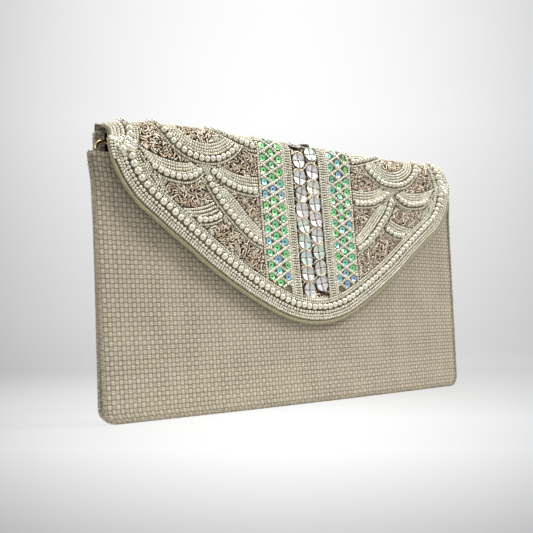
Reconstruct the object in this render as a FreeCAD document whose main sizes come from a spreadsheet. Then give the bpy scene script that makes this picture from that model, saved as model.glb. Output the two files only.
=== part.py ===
"""Envelope clutch purse: woven body, beaded flap on a soft hinge, magnetic snap, two D-rings.

Millimetres. +Z is up, the front faces -Y, and the origin is the centre of the resting base.
"""
import FreeCAD, Part
import math
import os
import Sketcher
from FreeCAD import Placement, Rotation, Vector

DIMENSIONS = (
    # Pouch, measured over the cover fabric
    ("half_width", 127.0),
    ("half_depth", 4.5),
    ("front_height", 135.4),
    ("front_bow_low", 5.0),
    ("front_bow_high", 0.5),
    ("back_height", 150.0),
    ("back_half_width_high", 123.3),
    ("back_half_depth_high", 5.5),
    ("back_bow_low", 5.0),
    ("back_bow_high", 0.3),
    ("back_board_drop", 1.4),
    ("corner_radius", 8.5),
    # Sheet thicknesses
    ("cover_thick", 0.9),
    ("front_board_thick", 1.0),
    ("back_board_thick", 1.2),
    ("lining_thick", 0.4),
    ("layer_gap", 0.05),
    # Base strip, hem, slip pocket and gussets
    ("base_thick", 0.9),
    ("panel_foot", 0.95),
    ("front_foot", 1.5),
    ("board_margin", 1.0),
    ("hem_radius", 1.15),
    ("hem_setback", 3.5),
    ("pocket_width", 120.0),
    ("pocket_height", 60.0),
    ("pocket_foot", 46.0),
    ("pocket_thick", 0.4),
    ("pocket_setback", 3.1),
    ("gusset_edge", 125.5),
    ("gusset_fold", 119.6),
    ("gusset_spread", 1.7),
    ("gusset_wall", 0.6),
    ("gusset_foot", 9.0),
    ("gusset_height", 132.0),
    # Flap: hinge line, slope over the top, front face and rounded point
    ("hinge_setback", 5.0),
    ("hinge_height", 151.4),
    ("hinge_strip_radius", 1.2),
    ("hinge_clearance", 1.6),
    ("slope_angle", 36.0),
    ("slope_rise", 1.75),
    ("bend_radius", 4.0),
    ("flap_face", 10.2),
    ("flap_half_width", 122.0),
    ("flap_tip_height", 45.0),
    ("tip_radius", 66.0),
    ("tip_sweep", 27.0),
    ("flank_radius", 258.0),
    ("flank_angle", 40.5),
    ("shoulder_radius", 41.0),
    ("flap_base_thick", 0.8),
    ("flap_board_thick", 0.7),
    ("flap_base_inset", 1.7),
    ("flap_board_inset", 3.2),
    ("flap_lining_inset", 2.2),
    ("piping_radius", 0.8),
    # Magnetic snap
    ("snap_height", 62.0),
    ("snap_radius", 7.0),
    ("snap_hole_play", 0.3),
    ("socket_front", 7.7),
    ("socket_thick", 1.6),
    ("socket_wall", 0.6),
    ("socket_hole_radius", 2.8),
    ("stud_radius", 6.5),
    ("stud_face", 7.8),
    ("stud_thick", 1.15),
    ("nub_radius", 2.2),
    ("nub_length", 1.2),
    ("washer_thick", 0.32),
    # D-rings and their tabs
    ("ring_offset", 119.4),
    ("ring_setback", 0.95),
    ("ring_height", 136.6),
    ("ring_wire_radius", 0.85),
    ("ring_half_width", 3.65),
    ("ring_leg", 3.3),
    ("ring_lean", 6.0),
    ("tab_width", 4.6),
    ("tab_play", 0.3),
    ("tab_thick", 0.6),
    ("tab_tail", 7.5),
    # Beads and trim on the flap
    ("bead_gap", 0.05),
    ("seed_radius", 0.75),
    ("pearl_radius", 2.1),
    ("pearl_pitch", 4.7),
    ("pearl_inset", 9.4),
    ("scale_pearl_radius", 1.65),
    ("scale_pearl_pitch", 3.6),
    ("bullion_thick", 0.9),
    ("sequin_radius", 4.3),
    ("sequin_thick", 0.6),
    ("sequin_pitch", 9.5),
    ("sequin_column", 4.8),
    ("loop_wire_radius", 0.3),
    ("spangle_radius", 2.1),
    ("spangle_thick", 0.7),
    ("spangle_pitch", 6.7),
    # Drills through the snap's layers: their length, and how far before the layer they start
    ("drill_length", 20.0),
    ("drill_lead", 5.0),
)
ALIASES = {alias for alias, _ in DIMENSIONS}

# Seed rows of the border, by their distance inside the flap's edge
SEED_INSETS = (2.6, 4.4, 6.2, 12.9)
# Columns of large sequins as (side, height of the top one, count)
SEQUIN_COLUMNS = ((-1, 133.5, 8), (1, 128.5, 7))
# Columns of small spangles on one half as (across, height of the top one, count)
SPANGLE_COLUMNS = ((18.0, 129.6, 10), (24.0, 132.9, 9), (30.0, 129.6, 8))
# Straight bead rows on one half, by their distance from the middle
DIVIDER_ROWS = (10.6, 12.4, 14.2)
LATTICE_STRINGS = (21.0, 27.0, 33.4)
# The rows run down from the top of the face; a row further out stops higher, by this slope
TOP_OF_FACE = 137.0
ROW_FOOT = 62.0
FIRST_ROW = 14.0
ROW_SLOPE = 0.45
# Wire loop round a large sequin: how much of a circle it is, and where it starts, in degrees
LOOP_SWEEP = 80.0
LOOP_START = 50.0
# The block that trims the flap's layers: how far it stands above the hinge, its length and its back
TRIM_ABOVE = 8.0
TRIM_LENGTH = 60.0
TRIM_BACK = 40.0
# A box larger than the flap's bend, and how far the front sheet passes the flap's tip before trimming
BEND_ROOM = 20.0
TIP_LAP = 1.0

# Scale motifs on one half of the flap: the three points of each pearl arc, as (across, height)
PEARL_ARCS = (
    ((50.0, 137.4), (66.0, 136.6), (82.0, 137.4)),
    ((95.5, 128.0), (82.5, 125.0), (69.5, 132.0)),
    ((62.0, 131.5), (52.0, 124.5), (37.0, 122.2)),
    ((72.0, 103.7), (66.0, 105.2), (60.2, 108.0)),
    ((65.0, 127.0), (56.8, 112.0), (37.0, 95.0)),
)
# Seed strings that run inside those arcs
SEED_ARCS = (
    ((97.5, 131.6), (84.0, 129.4), (75.6, 133.4)),
    ((57.0, 132.6), (48.0, 128.4), (37.0, 126.7)),
    ((74.5, 108.4), (68.0, 108.6), (62.8, 110.6)),
    ((59.0, 122.0), (51.5, 112.0), (37.0, 99.4)),
)
# Patches of couched bullion wire between the arcs
BULLION_PATCHES = (
    ((103.0, 136.5), (87.0, 136.5), (81.5, 133.6), (86.0, 132.0), (98.5, 133.8)),
    ((46.5, 136.5), (36.0, 136.5), (36.0, 131.0), (48.0, 131.2)),
    ((89.5, 121.0), (71.0, 122.5), (67.5, 114.5), (79.5, 112.0)),
    ((48.5, 117.5), (36.0, 117.5), (36.0, 104.5)),
    ((65.5, 100.0), (56.5, 104.0), (36.0, 89.0), (36.0, 77.0)),
)

doc = FreeCAD.newDocument("clutch_purse")
sizes = doc.addObject("Spreadsheet::Sheet", "sizes")
for row, (alias, value) in enumerate(DIMENSIONS, start=1):
    sizes.set(f"A{row}", alias)
    sizes.set(f"B{row}", str(value))
    sizes.setAlias(f"B{row}", alias)
doc.recompute()
sub_parts = []


def size(alias):
    """One driving dimension, read back from the sheet."""
    return float(getattr(sizes, alias))


def bind(item, prop, expression):
    """Bind a property to an expression in the sheet's cells, written without the sheet's name."""
    words = []
    for word in expression.split():
        words.append(f"sizes.{word}" if word in ALIASES else word)
    item.setExpression(prop, " ".join(words))


def keep(item, name):
    """Register a document object as a sub-part under its own name."""
    item.Label = name
    sub_parts.append(item)
    return item


def new_body(name):
    return keep(doc.addObject("PartDesign::Body", f"body_{name}"), name)


def plane_of(body, role):
    return next(item for item in body.Origin.OriginFeatures if item.Role == role)


def new_sketch(body, name, role):
    sketch = body.newObject("Sketcher::SketchObject", name)
    sketch.AttachmentSupport = (plane_of(body, role), "")
    sketch.MapMode = "FlatFace"
    return sketch


def constrain(sketch, expression, *constraint):
    """Add a dimensional constraint whose value is an expression of the sheet."""
    index = sketch.addConstraint(Sketcher.Constraint(*constraint))
    bind(sketch, f"Constraints[{index}]", expression)


# ---------------------------------------------------------------- bowed panels of the pouch

def bowed_strip(body, name, side, level, half_width, depth, bow, thick):
    """Plan section of a panel: two equal arcs, bowed out towards side, joined by short ends."""
    sketch = new_sketch(body, name, "XY_Plane")
    bind(sketch, "AttachmentOffset.Base.z", level)
    wide, out, sag, wall = (evaluate(text) for text in (half_width, depth, bow, thick))
    radius = (wide ** 2 + sag ** 2) / (2 * sag)
    reach = math.asin(wide / radius)
    middle = side * math.pi / 2
    for inset in (0.0, wall):
        centre = Vector(0, side * (out - inset + sag - radius), 0)
        circle = Part.Circle(centre, Vector(0, 0, 1), radius)
        sketch.addGeometry(Part.ArcOfCircle(circle, middle - reach, middle + reach), False)
    for end in (-1, 1):
        low = Vector(end * wide, side * out, 0)
        high = Vector(end * wide, side * (out - wall), 0)
        sketch.addGeometry(Part.LineSegment(low, high), False)
    left, right = (1, 2) if side < 0 else (2, 1)
    for line, corner in ((2, left), (3, right)):
        sketch.addConstraint(Sketcher.Constraint("Coincident", line, 1, 0, corner))
        sketch.addConstraint(Sketcher.Constraint("Coincident", line, 2, 1, corner))
        sketch.addConstraint(Sketcher.Constraint("Vertical", line))
    sketch.addConstraint(Sketcher.Constraint("Symmetric", 0, 1, 0, 2, -2))
    sketch.addConstraint(Sketcher.Constraint("Equal", 0, 1))
    radius_text = f"( ( {half_width} ) ^ 2 + {bow} ^ 2 ) / ( 2 * {bow} )"
    constrain(sketch, radius_text, "Radius", 0, radius)
    constrain(sketch, half_width, "DistanceX", -1, 1, 0, right, wide)
    outer = (0, right, -1, 1) if side < 0 else (-1, 1, 0, right)
    inner = (1, right, -1, 1) if side < 0 else (-1, 1, 1, right)
    constrain(sketch, depth, "DistanceY", *outer, out)
    constrain(sketch, f"{depth} - ( {thick} )", "DistanceY", *inner, out - wall)
    return sketch


def evaluate(expression):
    """Value of an expression of the sheet's aliases, worked out by the sheet itself."""
    sizes.set("D1", f"={expression}")
    sizes.recompute()
    return float(sizes.get("D1"))


def bowed_panel(name, side, low, high, thick):
    """A sheet that rises from the bowed base line to the almost straight mouth line."""
    body = new_body(name)
    foot = bowed_strip(body, f"{name}_foot", side, *low, thick)
    head = bowed_strip(body, f"{name}_head", side, *high, thick)
    loft = body.newObject("PartDesign::AdditiveLoft", f"{name}_loft")
    loft.Profile = foot
    loft.Sections = [head]
    loft.Ruled = True
    doc.recompute()
    round_corners(body, name, low[1], low[0])
    return body


def round_corners(body, name, half_width, foot):
    """Cut both bottom corners of a panel to the corner radius, front to back."""
    sketch = new_sketch(body, f"{name}_corners", "XZ_Plane")
    wide, low = evaluate(half_width), evaluate(foot)
    radius, margin = size("corner_radius"), size("board_margin")
    for number, side in enumerate((-1, 1)):
        def spot(across, height):
            return Vector(side * across, height, 0)
        first = 5 * number
        middle = radius * (1 - math.sqrt(0.5))
        arc = Part.Arc(spot(wide, low + radius), spot(wide - middle, low + middle),
                       spot(wide - radius, low))
        outside = [spot(wide - radius, low), spot(wide - radius, low - margin),
                   spot(wide + margin, low - margin), spot(wide + margin, low + radius),
                   spot(wide, low + radius)]
        lines = [Part.LineSegment(start, end) for start, end in zip(outside, outside[1:])]
        sketch.addGeometry([arc] + lines, False)
        begin, end = (2, 1) if side > 0 else (1, 2)
        joints = [(0, end, 1, 1), (1, 2, 2, 1), (2, 2, 3, 1), (3, 2, 4, 1), (4, 2, 0, begin)]
        for one, at_one, two, at_two in joints:
            pair = (first + one, at_one, first + two, at_two)
            sketch.addConstraint(Sketcher.Constraint("Coincident", *pair))
        for line, direction in ((1, "Vertical"), (2, "Horizontal"), (3, "Vertical"), (4, "Horizontal")):
            sketch.addConstraint(Sketcher.Constraint(direction, first + line))
        sketch.addConstraint(Sketcher.Constraint("Horizontal", first, begin, first, 3))
        sketch.addConstraint(Sketcher.Constraint("Vertical", first, end, first, 3))
        across = (-1, 1, first, 3) if side > 0 else (first, 3, -1, 1)
        constrain(sketch, f"{half_width} - corner_radius", "DistanceX", *across, wide - radius)
        constrain(sketch, f"{foot} + corner_radius", "DistanceY", -1, 1, first, 3, low + radius)
        constrain(sketch, "corner_radius", "Radius", first, radius)
        constrain(sketch, "corner_radius + board_margin", "Distance", first + 2, radius + margin)
        constrain(sketch, "board_margin", "Distance", first + 1, margin)
    pocket = body.newObject("PartDesign::Pocket", f"{name}_rounding")
    pocket.Profile = sketch
    pocket.Type = "ThroughAll"
    pocket.Midplane = True
    before = body.Shape.Volume
    doc.recompute()
    if not body.Shape.Volume < before:
        raise RuntimeError(f"{name}: the corners were not cut")


def snap_hole(body, name, radius):
    """A round hole through a panel, front to back, at the snap."""
    sketch = new_sketch(body, f"{name}_hole", "XZ_Plane")
    centre = Vector(0, size("snap_height"), 0)
    sketch.addGeometry(Part.Circle(centre, Vector(0, 0, 1), size("snap_radius")), False)
    sketch.addConstraint(Sketcher.Constraint("PointOnObject", 0, 3, -2))
    constrain(sketch, "snap_height", "DistanceY", -1, 1, 0, 3, size("snap_height"))
    constrain(sketch, radius, "Radius", 0, size("snap_radius"))
    before = body.Shape.Volume
    pocket = body.newObject("PartDesign::Pocket", f"{name}_pocket")
    pocket.Profile = sketch
    pocket.Type = "ThroughAll"
    pocket.Midplane = True
    doc.recompute()
    if not body.Shape.Volume < before:
        raise RuntimeError(f"{name}: the snap hole cut nothing")


def pouch_front():
    top = "front_height"
    cover_low = ("front_foot", "half_width", "half_depth", "front_bow_low")
    cover_high = (top, "half_width", "half_depth", "front_bow_high")
    cover = bowed_panel("front_cover", -1, cover_low, cover_high, "cover_thick")
    depth = "half_depth - cover_thick - layer_gap"
    wide = "half_width - board_margin"
    low = ("front_foot + board_margin", wide, depth, "front_bow_low")
    high = (f"{top} - board_margin", wide, depth, "front_bow_high")
    board = bowed_panel("front_board", -1, low, high, "front_board_thick")
    depth = "half_depth - cover_thick - front_board_thick - 2 * layer_gap"
    low = ("front_foot + board_margin", wide, depth, "front_bow_low")
    high = (top, wide, depth, "front_bow_high")
    bowed_panel("front_lining", -1, low, high, "lining_thick")
    for body in (cover, board):
        snap_hole(body, body.Label, "snap_radius + snap_hole_play")


def pouch_back():
    top_depth = "back_half_depth_high"
    cover_low = ("panel_foot", "half_width", "half_depth", "back_bow_low")
    cover_high = ("back_height", "back_half_width_high", top_depth, "back_bow_high")
    bowed_panel("back_cover", 1, cover_low, cover_high, "cover_thick")
    taken = "( cover_thick + layer_gap )"
    wide = "half_width - board_margin"
    wide_high = "back_half_width_high - board_margin"
    top = "back_height - back_board_drop"
    low = ("panel_foot", wide, f"half_depth - {taken}", "back_bow_low")
    high = (top, wide_high, f"{top_depth} - {taken}", "back_bow_high")
    bowed_panel("back_board", 1, low, high, "back_board_thick")
    taken = "( cover_thick + back_board_thick + 2 * layer_gap )"
    low = ("panel_foot", wide, f"half_depth - {taken}", "back_bow_low")
    high = (top, wide_high, f"{top_depth} - {taken}", "back_bow_high")
    bowed_panel("back_lining", 1, low, high, "lining_thick")


# ---------------------------------------------------------------- base, hem, pocket, gussets

def base_strip():
    """The flat bottom: a lens between the two bowed base lines, cut square at the corners."""
    body = new_body("base_strip")
    sketch = new_sketch(body, "base_outline", "XY_Plane")
    reach_text = "( half_width - corner_radius )"
    wide, edge, bow = evaluate(reach_text), size("half_depth"), size("front_bow_low")
    radius = (wide ** 2 + bow ** 2) / (2 * bow)
    sweep = math.asin(wide / radius)
    for side in (-1, 1):
        centre = Vector(0, side * (edge + bow - radius), 0)
        circle = Part.Circle(centre, Vector(0, 0, 1), radius)
        middle = side * math.pi / 2
        sketch.addGeometry(Part.ArcOfCircle(circle, middle - sweep, middle + sweep), False)
    for across in (wide, -wide):
        line = Part.LineSegment(Vector(across, -edge, 0), Vector(across, edge, 0))
        sketch.addGeometry(line, False)
    front, back, right, left = range(4)
    for line, start, end in ((right, 2, 1), (left, 1, 2)):
        sketch.addConstraint(Sketcher.Constraint("Coincident", line, 1, front, start))
        sketch.addConstraint(Sketcher.Constraint("Coincident", line, 2, back, end))
    sketch.addConstraint(Sketcher.Constraint("Vertical", right))
    sketch.addConstraint(Sketcher.Constraint("Horizontal", back, 1, back, 2))
    sketch.addConstraint(Sketcher.Constraint("Symmetric", front, 1, front, 2, -2))
    sketch.addConstraint(Sketcher.Constraint("Symmetric", front, 1, back, 2, -1))
    sketch.addConstraint(Sketcher.Constraint("Equal", front, back))
    radius_text = f"( {reach_text} ^ 2 + front_bow_low ^ 2 ) / ( 2 * front_bow_low )"
    constrain(sketch, radius_text, "Radius", front, radius)
    constrain(sketch, reach_text, "DistanceX", -1, 1, front, 2, wide)
    constrain(sketch, "half_depth", "DistanceY", front, 2, -1, 1, edge)
    pad = body.newObject("PartDesign::Pad", "base_pad")
    pad.Profile = sketch
    bind(pad, "Length", "base_thick")


def rod(name, radius, half_length, setback, height):
    """A round rod along X."""
    item = keep(doc.addObject("Part::Cylinder", f"rod_{name}"), name)
    bind(item, "Radius", radius)
    bind(item, "Height", f"2 * {half_length}")
    item.Placement = Placement(Vector(0, 0, 0), Rotation(Vector(0, 1, 0), 90))
    bind(item, "Placement.Base.x", f"0 - {half_length}")
    bind(item, "Placement.Base.y", setback)
    bind(item, "Placement.Base.z", height)
    return item


def slip_pocket():
    """A patch pocket for cards, flat against the lining of the back panel."""
    item = keep(doc.addObject("Part::Box", "pocket"), "inner_slip_pocket")
    bind(item, "Length", "pocket_width")
    bind(item, "Width", "pocket_thick")
    bind(item, "Height", "pocket_height")
    bind(item, "Placement.Base.x", "0 - pocket_width / 2")
    bind(item, "Placement.Base.y", "pocket_setback")
    bind(item, "Placement.Base.z", "pocket_foot")


def gusset(name, side):
    """One side gusset: a sheet folded inwards in a V between the two panels."""
    body = new_body(name)
    sketch = new_sketch(body, f"{name}_section", "XY_Plane")
    edge, fold = side * size("gusset_edge"), side * size("gusset_fold")
    spread, wall = size("gusset_spread"), size("gusset_wall")
    inner_fold = fold + side * wall * (abs(edge) - abs(fold)) / spread
    points = [(edge, -spread), (fold, 0), (edge, spread),
              (edge, spread - wall), (inner_fold, 0), (edge, wall - spread)]
    corners = [Vector(*point, 0) for point in points]
    for start, end in zip(corners, corners[1:] + corners[:1]):
        sketch.addGeometry(Part.LineSegment(start, end), False)
    for line in range(len(corners)):
        joint = (line, 2, (line + 1) % len(corners), 1)
        sketch.addConstraint(Sketcher.Constraint("Coincident", *joint))
    front_end, outer_fold, back_end, back_inner, inner_turn, front_inner = range(len(corners))
    for line in (outer_fold, inner_turn):
        sketch.addConstraint(Sketcher.Constraint("PointOnObject", line, 1, -1))
    sketch.addConstraint(Sketcher.Constraint("Vertical", back_end))
    sketch.addConstraint(Sketcher.Constraint("Symmetric", front_end, 1, back_end, 1, -1))
    sketch.addConstraint(Sketcher.Constraint("Symmetric", back_inner, 1, front_inner, 1, -1))
    fold_text = "gusset_fold + gusset_wall * ( gusset_edge - gusset_fold ) / gusset_spread"
    for line, text, across in ((back_end, "gusset_edge", edge), (outer_fold, "gusset_fold", fold),
                               (inner_turn, fold_text, inner_fold)):
        ends = (-1, 1, line, 1) if side > 0 else (line, 1, -1, 1)
        constrain(sketch, text, "DistanceX", *ends, abs(across))
    constrain(sketch, "gusset_spread", "DistanceY", -1, 1, back_end, 1, spread)
    constrain(sketch, "gusset_wall", "Distance", back_end, wall)
    bind(sketch, "AttachmentOffset.Base.z", "gusset_foot")
    pad = body.newObject("PartDesign::Pad", f"{name}_pad")
    pad.Profile = sketch
    bind(pad, "Length", "gusset_height - gusset_foot")


# ---------------------------------------------------------------- flap

def flap_outline(inset):
    """Edges of the flap's front outline, drawn in at inset, from its left side to its right."""
    wide = size("flap_half_width") - inset
    tip = size("tip_radius") - inset
    flank = size("flank_radius") - inset
    shoulder = size("shoulder_radius") - inset
    sweep, slope = math.radians(size("tip_sweep")), math.radians(size("flank_angle"))
    tip_centre = Vector(0, size("flap_tip_height") + size("tip_radius"), 0)
    flank_centre = tip_centre + Vector(-math.sin(sweep), math.cos(sweep), 0) * (
        size("flank_radius") - size("tip_radius"))
    flank_end = flank_centre + Vector(math.sin(slope), -math.cos(slope), 0) * flank
    shoulder_x = size("flap_half_width") - size("shoulder_radius")
    run = (shoulder_x + shoulder * math.sin(slope) - flank_end.x) / math.cos(slope)
    diagonal_end = flank_end + Vector(math.cos(slope), math.sin(slope), 0) * run
    shoulder_centre = diagonal_end + Vector(-math.sin(slope), math.cos(slope), 0) * shoulder
    return {"wide": wide, "tip": (tip_centre, tip, sweep), "flank": (flank_centre, flank, slope),
            "diagonal": (flank_end, diagonal_end), "shoulder": (shoulder_centre, shoulder, slope)}


def arc_between(centre, radius, low, high, mirrored):
    """An arc between two angles measured from straight down, on either half."""
    angles = (low, (low + high) / 2, high)
    points = [centre + Vector(math.sin(a), -math.cos(a), 0) * radius for a in angles]
    if mirrored:
        points = [Vector(-p.x, p.y, 0) for p in points]
    return Part.Arc(*points).toShape()


def outline_edges(inset, top):
    """The outline as edges in the XY plane, from the top left round the point to the top right."""
    shape = flap_outline(inset)
    halves = {}
    for mirrored in (True, False):
        flip = -1 if mirrored else 1
        start, end = (Vector(flip * p.x, p.y, 0) for p in shape["diagonal"])
        sweep = shape["tip"][2]
        slope = shape["flank"][2]
        side = Vector(flip * shape["wide"], shape["shoulder"][0].y, 0)
        halves[mirrored] = [
            arc_between(shape["tip"][0], shape["tip"][1], 0, sweep, mirrored),
            arc_between(*shape["flank"][:2], sweep, slope, mirrored),
            Part.LineSegment(start, end).toShape(),
            arc_between(*shape["shoulder"][:2], slope, math.pi / 2, mirrored),
        ]
        if top > side.y:
            halves[mirrored].append(Part.LineSegment(side, Vector(side.x, top, 0)).toShape())
    return halves[True][::-1] + halves[False]


def flap_prism(name, inset):
    """The flap's outline, extruded through the bag from front to back."""
    top = size("hinge_height") + TRIM_ABOVE
    edges = outline_edges(inset, top)
    wide = flap_outline(inset)["wide"]
    edges.append(Part.LineSegment(Vector(-wide, top, 0), Vector(wide, top, 0)).toShape())
    face = Part.Face(Part.Wire(Part.__sortEdges__(edges)))
    prism = doc.addObject("Part::Feature", f"{name}_prism")
    prism.Shape = face.extrude(Vector(0, 0, TRIM_LENGTH))
    prism.Placement = Placement(Vector(0, TRIM_BACK, 0), Rotation(Vector(1, 0, 0), 90))
    return prism


def slope_frame():
    """Placement on the hinge line whose Y runs up the slope to the back and whose Z is its outer normal."""
    base = Vector(0, size("hinge_setback"), size("hinge_height"))
    turn = Rotation(Vector(1, 0, 0), size("slope_angle"))
    return Placement(base, turn)


def bend_centre():
    """Centre, in Y and Z, of the flap's bend between the slope and the front face."""
    angle = math.radians(size("slope_angle"))
    back = size("hinge_setback") + size("flap_face") - size("bend_radius")
    drop = (size("slope_rise") - size("bend_radius") - math.sin(angle) * back) / math.cos(angle)
    return -size("flap_face") + size("bend_radius"), size("hinge_height") + drop


def folded_sheet(name, offset, thick):
    """One layer of the flap: sloping top, bend and front face, offset inwards from the outside."""
    deep, wall = evaluate(offset), evaluate(thick)
    centre_y, centre_z = bend_centre()
    half, low = size("flap_half_width"), size("flap_tip_height") - TIP_LAP
    front = doc.addObject("Part::Box", f"{name}_front")
    bind(front, "Length", "2 * flap_half_width")
    bind(front, "Width", thick)
    front.Height = centre_z - low
    front.Placement = Placement(Vector(-half, -size("flap_face") + deep, low), Rotation())
    outer = Part.makeCylinder(size("bend_radius") - deep, 2 * half)
    inner = Part.makeCylinder(size("bend_radius") - deep - wall, 2 * half)
    along_x = Rotation(Vector(0, 1, 0), 90)
    bend = doc.addObject("Part::Feature", f"{name}_bend")
    ring = outer.cut(inner)
    ring.Placement = Placement(Vector(-half, centre_y, centre_z), along_x)
    angle = size("slope_angle")
    quarter = Part.makeBox(2 * half, BEND_ROOM, BEND_ROOM, Vector(-half, -BEND_ROOM, 0))
    quarter.Placement = Placement(Vector(0, centre_y, centre_z), Rotation())
    past = Part.makeBox(2 * half, BEND_ROOM, BEND_ROOM, Vector(-half, 0, 0))
    past.Placement = Placement(Vector(0, centre_y, centre_z), Rotation(Vector(1, 0, 0), angle))
    bend.Shape = ring.common(quarter).cut(past)
    frame = slope_frame()
    to_bend = frame.inverse().multVec(Vector(0, centre_y, centre_z)).y
    slope = doc.addObject("Part::Box", f"{name}_slope")
    bind(slope, "Length", "2 * flap_half_width")
    slope.Width = -to_bend - size("hinge_clearance")
    bind(slope, "Height", thick)
    corner = Vector(-half, to_bend, size("slope_rise") - deep - wall)
    slope.Placement = frame.multiply(Placement(corner, Rotation()))
    sheet = doc.addObject("Part::MultiFuse", f"{name}_sheet")
    sheet.Shapes = [front, bend, slope]
    return sheet


def flap_layer(name, offset, thick, inset, hole_radius=None):
    """A folded sheet trimmed to the flap's outline, with a hole for the snap where it needs one."""
    sheet = folded_sheet(name, offset, thick)
    trimmed = doc.addObject("Part::Common", f"{name}_trimmed")
    trimmed.Base, trimmed.Tool = sheet, flap_prism(name, size(inset))
    if hole_radius is None:
        return keep(trimmed, name)
    drill = snap_disc(f"{name}_drill", hole_radius, "drill_length", "flap_face + drill_lead")
    holed = doc.addObject("Part::Cut", f"{name}_holed")
    holed.Base, holed.Tool = trimmed, drill
    return keep(holed, name)


def edge_path(inset, lift):
    """Wire along the flap's edge on its outer face: down one side, round the point and up."""
    centre_y, centre_z = bend_centre()
    radius = size("bend_radius") + lift
    face = -size("flap_face") - lift
    wide = size("flap_half_width") - inset
    angle = math.radians(size("slope_angle"))
    edges = outline_edges(inset, centre_z)
    front = Part.Wire(Part.__sortEdges__(edges))
    front.Placement = Placement(Vector(0, face, 0), Rotation(Vector(1, 0, 0), 90))
    pieces = list(front.Edges)
    normal = Vector(0, -math.sin(angle), math.cos(angle))
    frame = slope_frame()
    top = frame.multVec(Vector(0, -size("hinge_clearance"), size("slope_rise") + lift))
    middle_angle = (math.pi / 2 - angle) / 2
    middle = Vector(0, -math.cos(middle_angle), math.sin(middle_angle))
    for side in (-1, 1):
        across = Vector(side * wide, 0, 0)
        centre = across + Vector(0, centre_y, centre_z)
        start = centre + Vector(0, -radius, 0)
        end = centre + normal * radius
        pieces.append(Part.Arc(start, centre + middle * radius, end).toShape())
        pieces.append(Part.LineSegment(end, across + top).toShape())
    return Part.Wire(Part.__sortEdges__(pieces))


def tube(wire, radius):
    """A round tube along a wire of tangent runs and arcs."""
    start = wire.OrderedVertexes[0].Point
    first = wire.OrderedEdges[0]
    direction = first.tangentAt(first.FirstParameter)
    circle = Part.Circle(start, direction, radius)
    return wire.makePipeShell([Part.Wire(circle.toShape())], True, True)


def trim(name, shapes):
    """A group of separate small solids as one sub-part."""
    item = doc.addObject("Part::Feature", f"trim_{name}")
    item.Shape = Part.makeCompound(shapes)
    item.Placement = Placement()
    return keep(item, name)


def flap():
    base = "flap_base_thick"
    flap_layer("flap_base", "0", base, "flap_base_inset")
    board_offset = f"{base} + layer_gap"
    hole = "stud_radius + snap_hole_play"
    flap_layer("flap_board", board_offset, "flap_board_thick", "flap_board_inset", hole)
    lining_offset = f"{base} + flap_board_thick + 2 * layer_gap"
    flap_layer("flap_lining", lining_offset, "lining_thick", "flap_lining_inset", hole)
    radius = size("piping_radius")
    trim("flap_piping", [tube(edge_path(radius, -radius), radius)])
    half = "flap_half_width - flap_base_inset"
    rod("flap_hinge_strip", "hinge_strip_radius", f"( {half} )", "hinge_setback", "hinge_height")


# ---------------------------------------------------------------- magnetic snap

def snap_disc(name, radius, thick, front):
    """A disc across the bag at the snap; front is how far its front face stands before the origin."""
    disc = doc.addObject("Part::Cylinder", name)
    bind(disc, "Radius", radius)
    bind(disc, "Height", thick)
    disc.Placement = Placement(Vector(0, 0, 0), Rotation(Vector(1, 0, 0), -90))
    bind(disc, "Placement.Base.y", f"0 - ( {front} )")
    bind(disc, "Placement.Base.z", "snap_height")
    return disc


def snap_ring(name, radius, thick, front):
    """A disc with the snap's central hole."""
    ring = doc.addObject("Part::Cut", f"{name}_ring")
    ring.Base = snap_disc(f"{name}_disc", radius, thick, front)
    bore_front = "socket_front + drill_lead"
    ring.Tool = snap_disc(f"{name}_bore", "socket_hole_radius", "drill_length", bore_front)
    return ring


def magnetic_snap():
    cap = snap_ring("cap", "snap_radius", "socket_thick", "socket_front")
    room_radius, room_front = "snap_radius - socket_wall", "socket_front - socket_wall"
    room = snap_disc("cap_room", room_radius, "drill_length", room_front)
    socket = doc.addObject("Part::Cut", "socket")
    socket.Base, socket.Tool = cap, room
    keep(socket, "snap_socket")
    inside = "socket_front - socket_wall - layer_gap"
    magnet_thick = "socket_thick - socket_wall - 2 * layer_gap"
    magnet = snap_ring("magnet", "snap_radius - socket_wall - layer_gap", magnet_thick, inside)
    keep(magnet, "snap_magnet")
    washer_front = "socket_front - socket_thick - layer_gap"
    keep(snap_ring("washer", "snap_radius", "washer_thick", washer_front), "snap_socket_washer")
    stud_front = "stud_face + stud_thick"
    plate = snap_disc("stud_plate", "stud_radius", "stud_thick", stud_front)
    nub = snap_disc("stud_nub", "nub_radius", "stud_thick + nub_length", stud_front)
    stud = doc.addObject("Part::Fuse", "stud")
    stud.Base, stud.Tool = plate, nub
    keep(stud, "snap_stud")
    back = snap_disc("stud_back", "stud_radius", "washer_thick",
                     f"{stud_front} + layer_gap + washer_thick")
    keep(back, "snap_stud_washer")


# ---------------------------------------------------------------- rings and tabs

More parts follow.
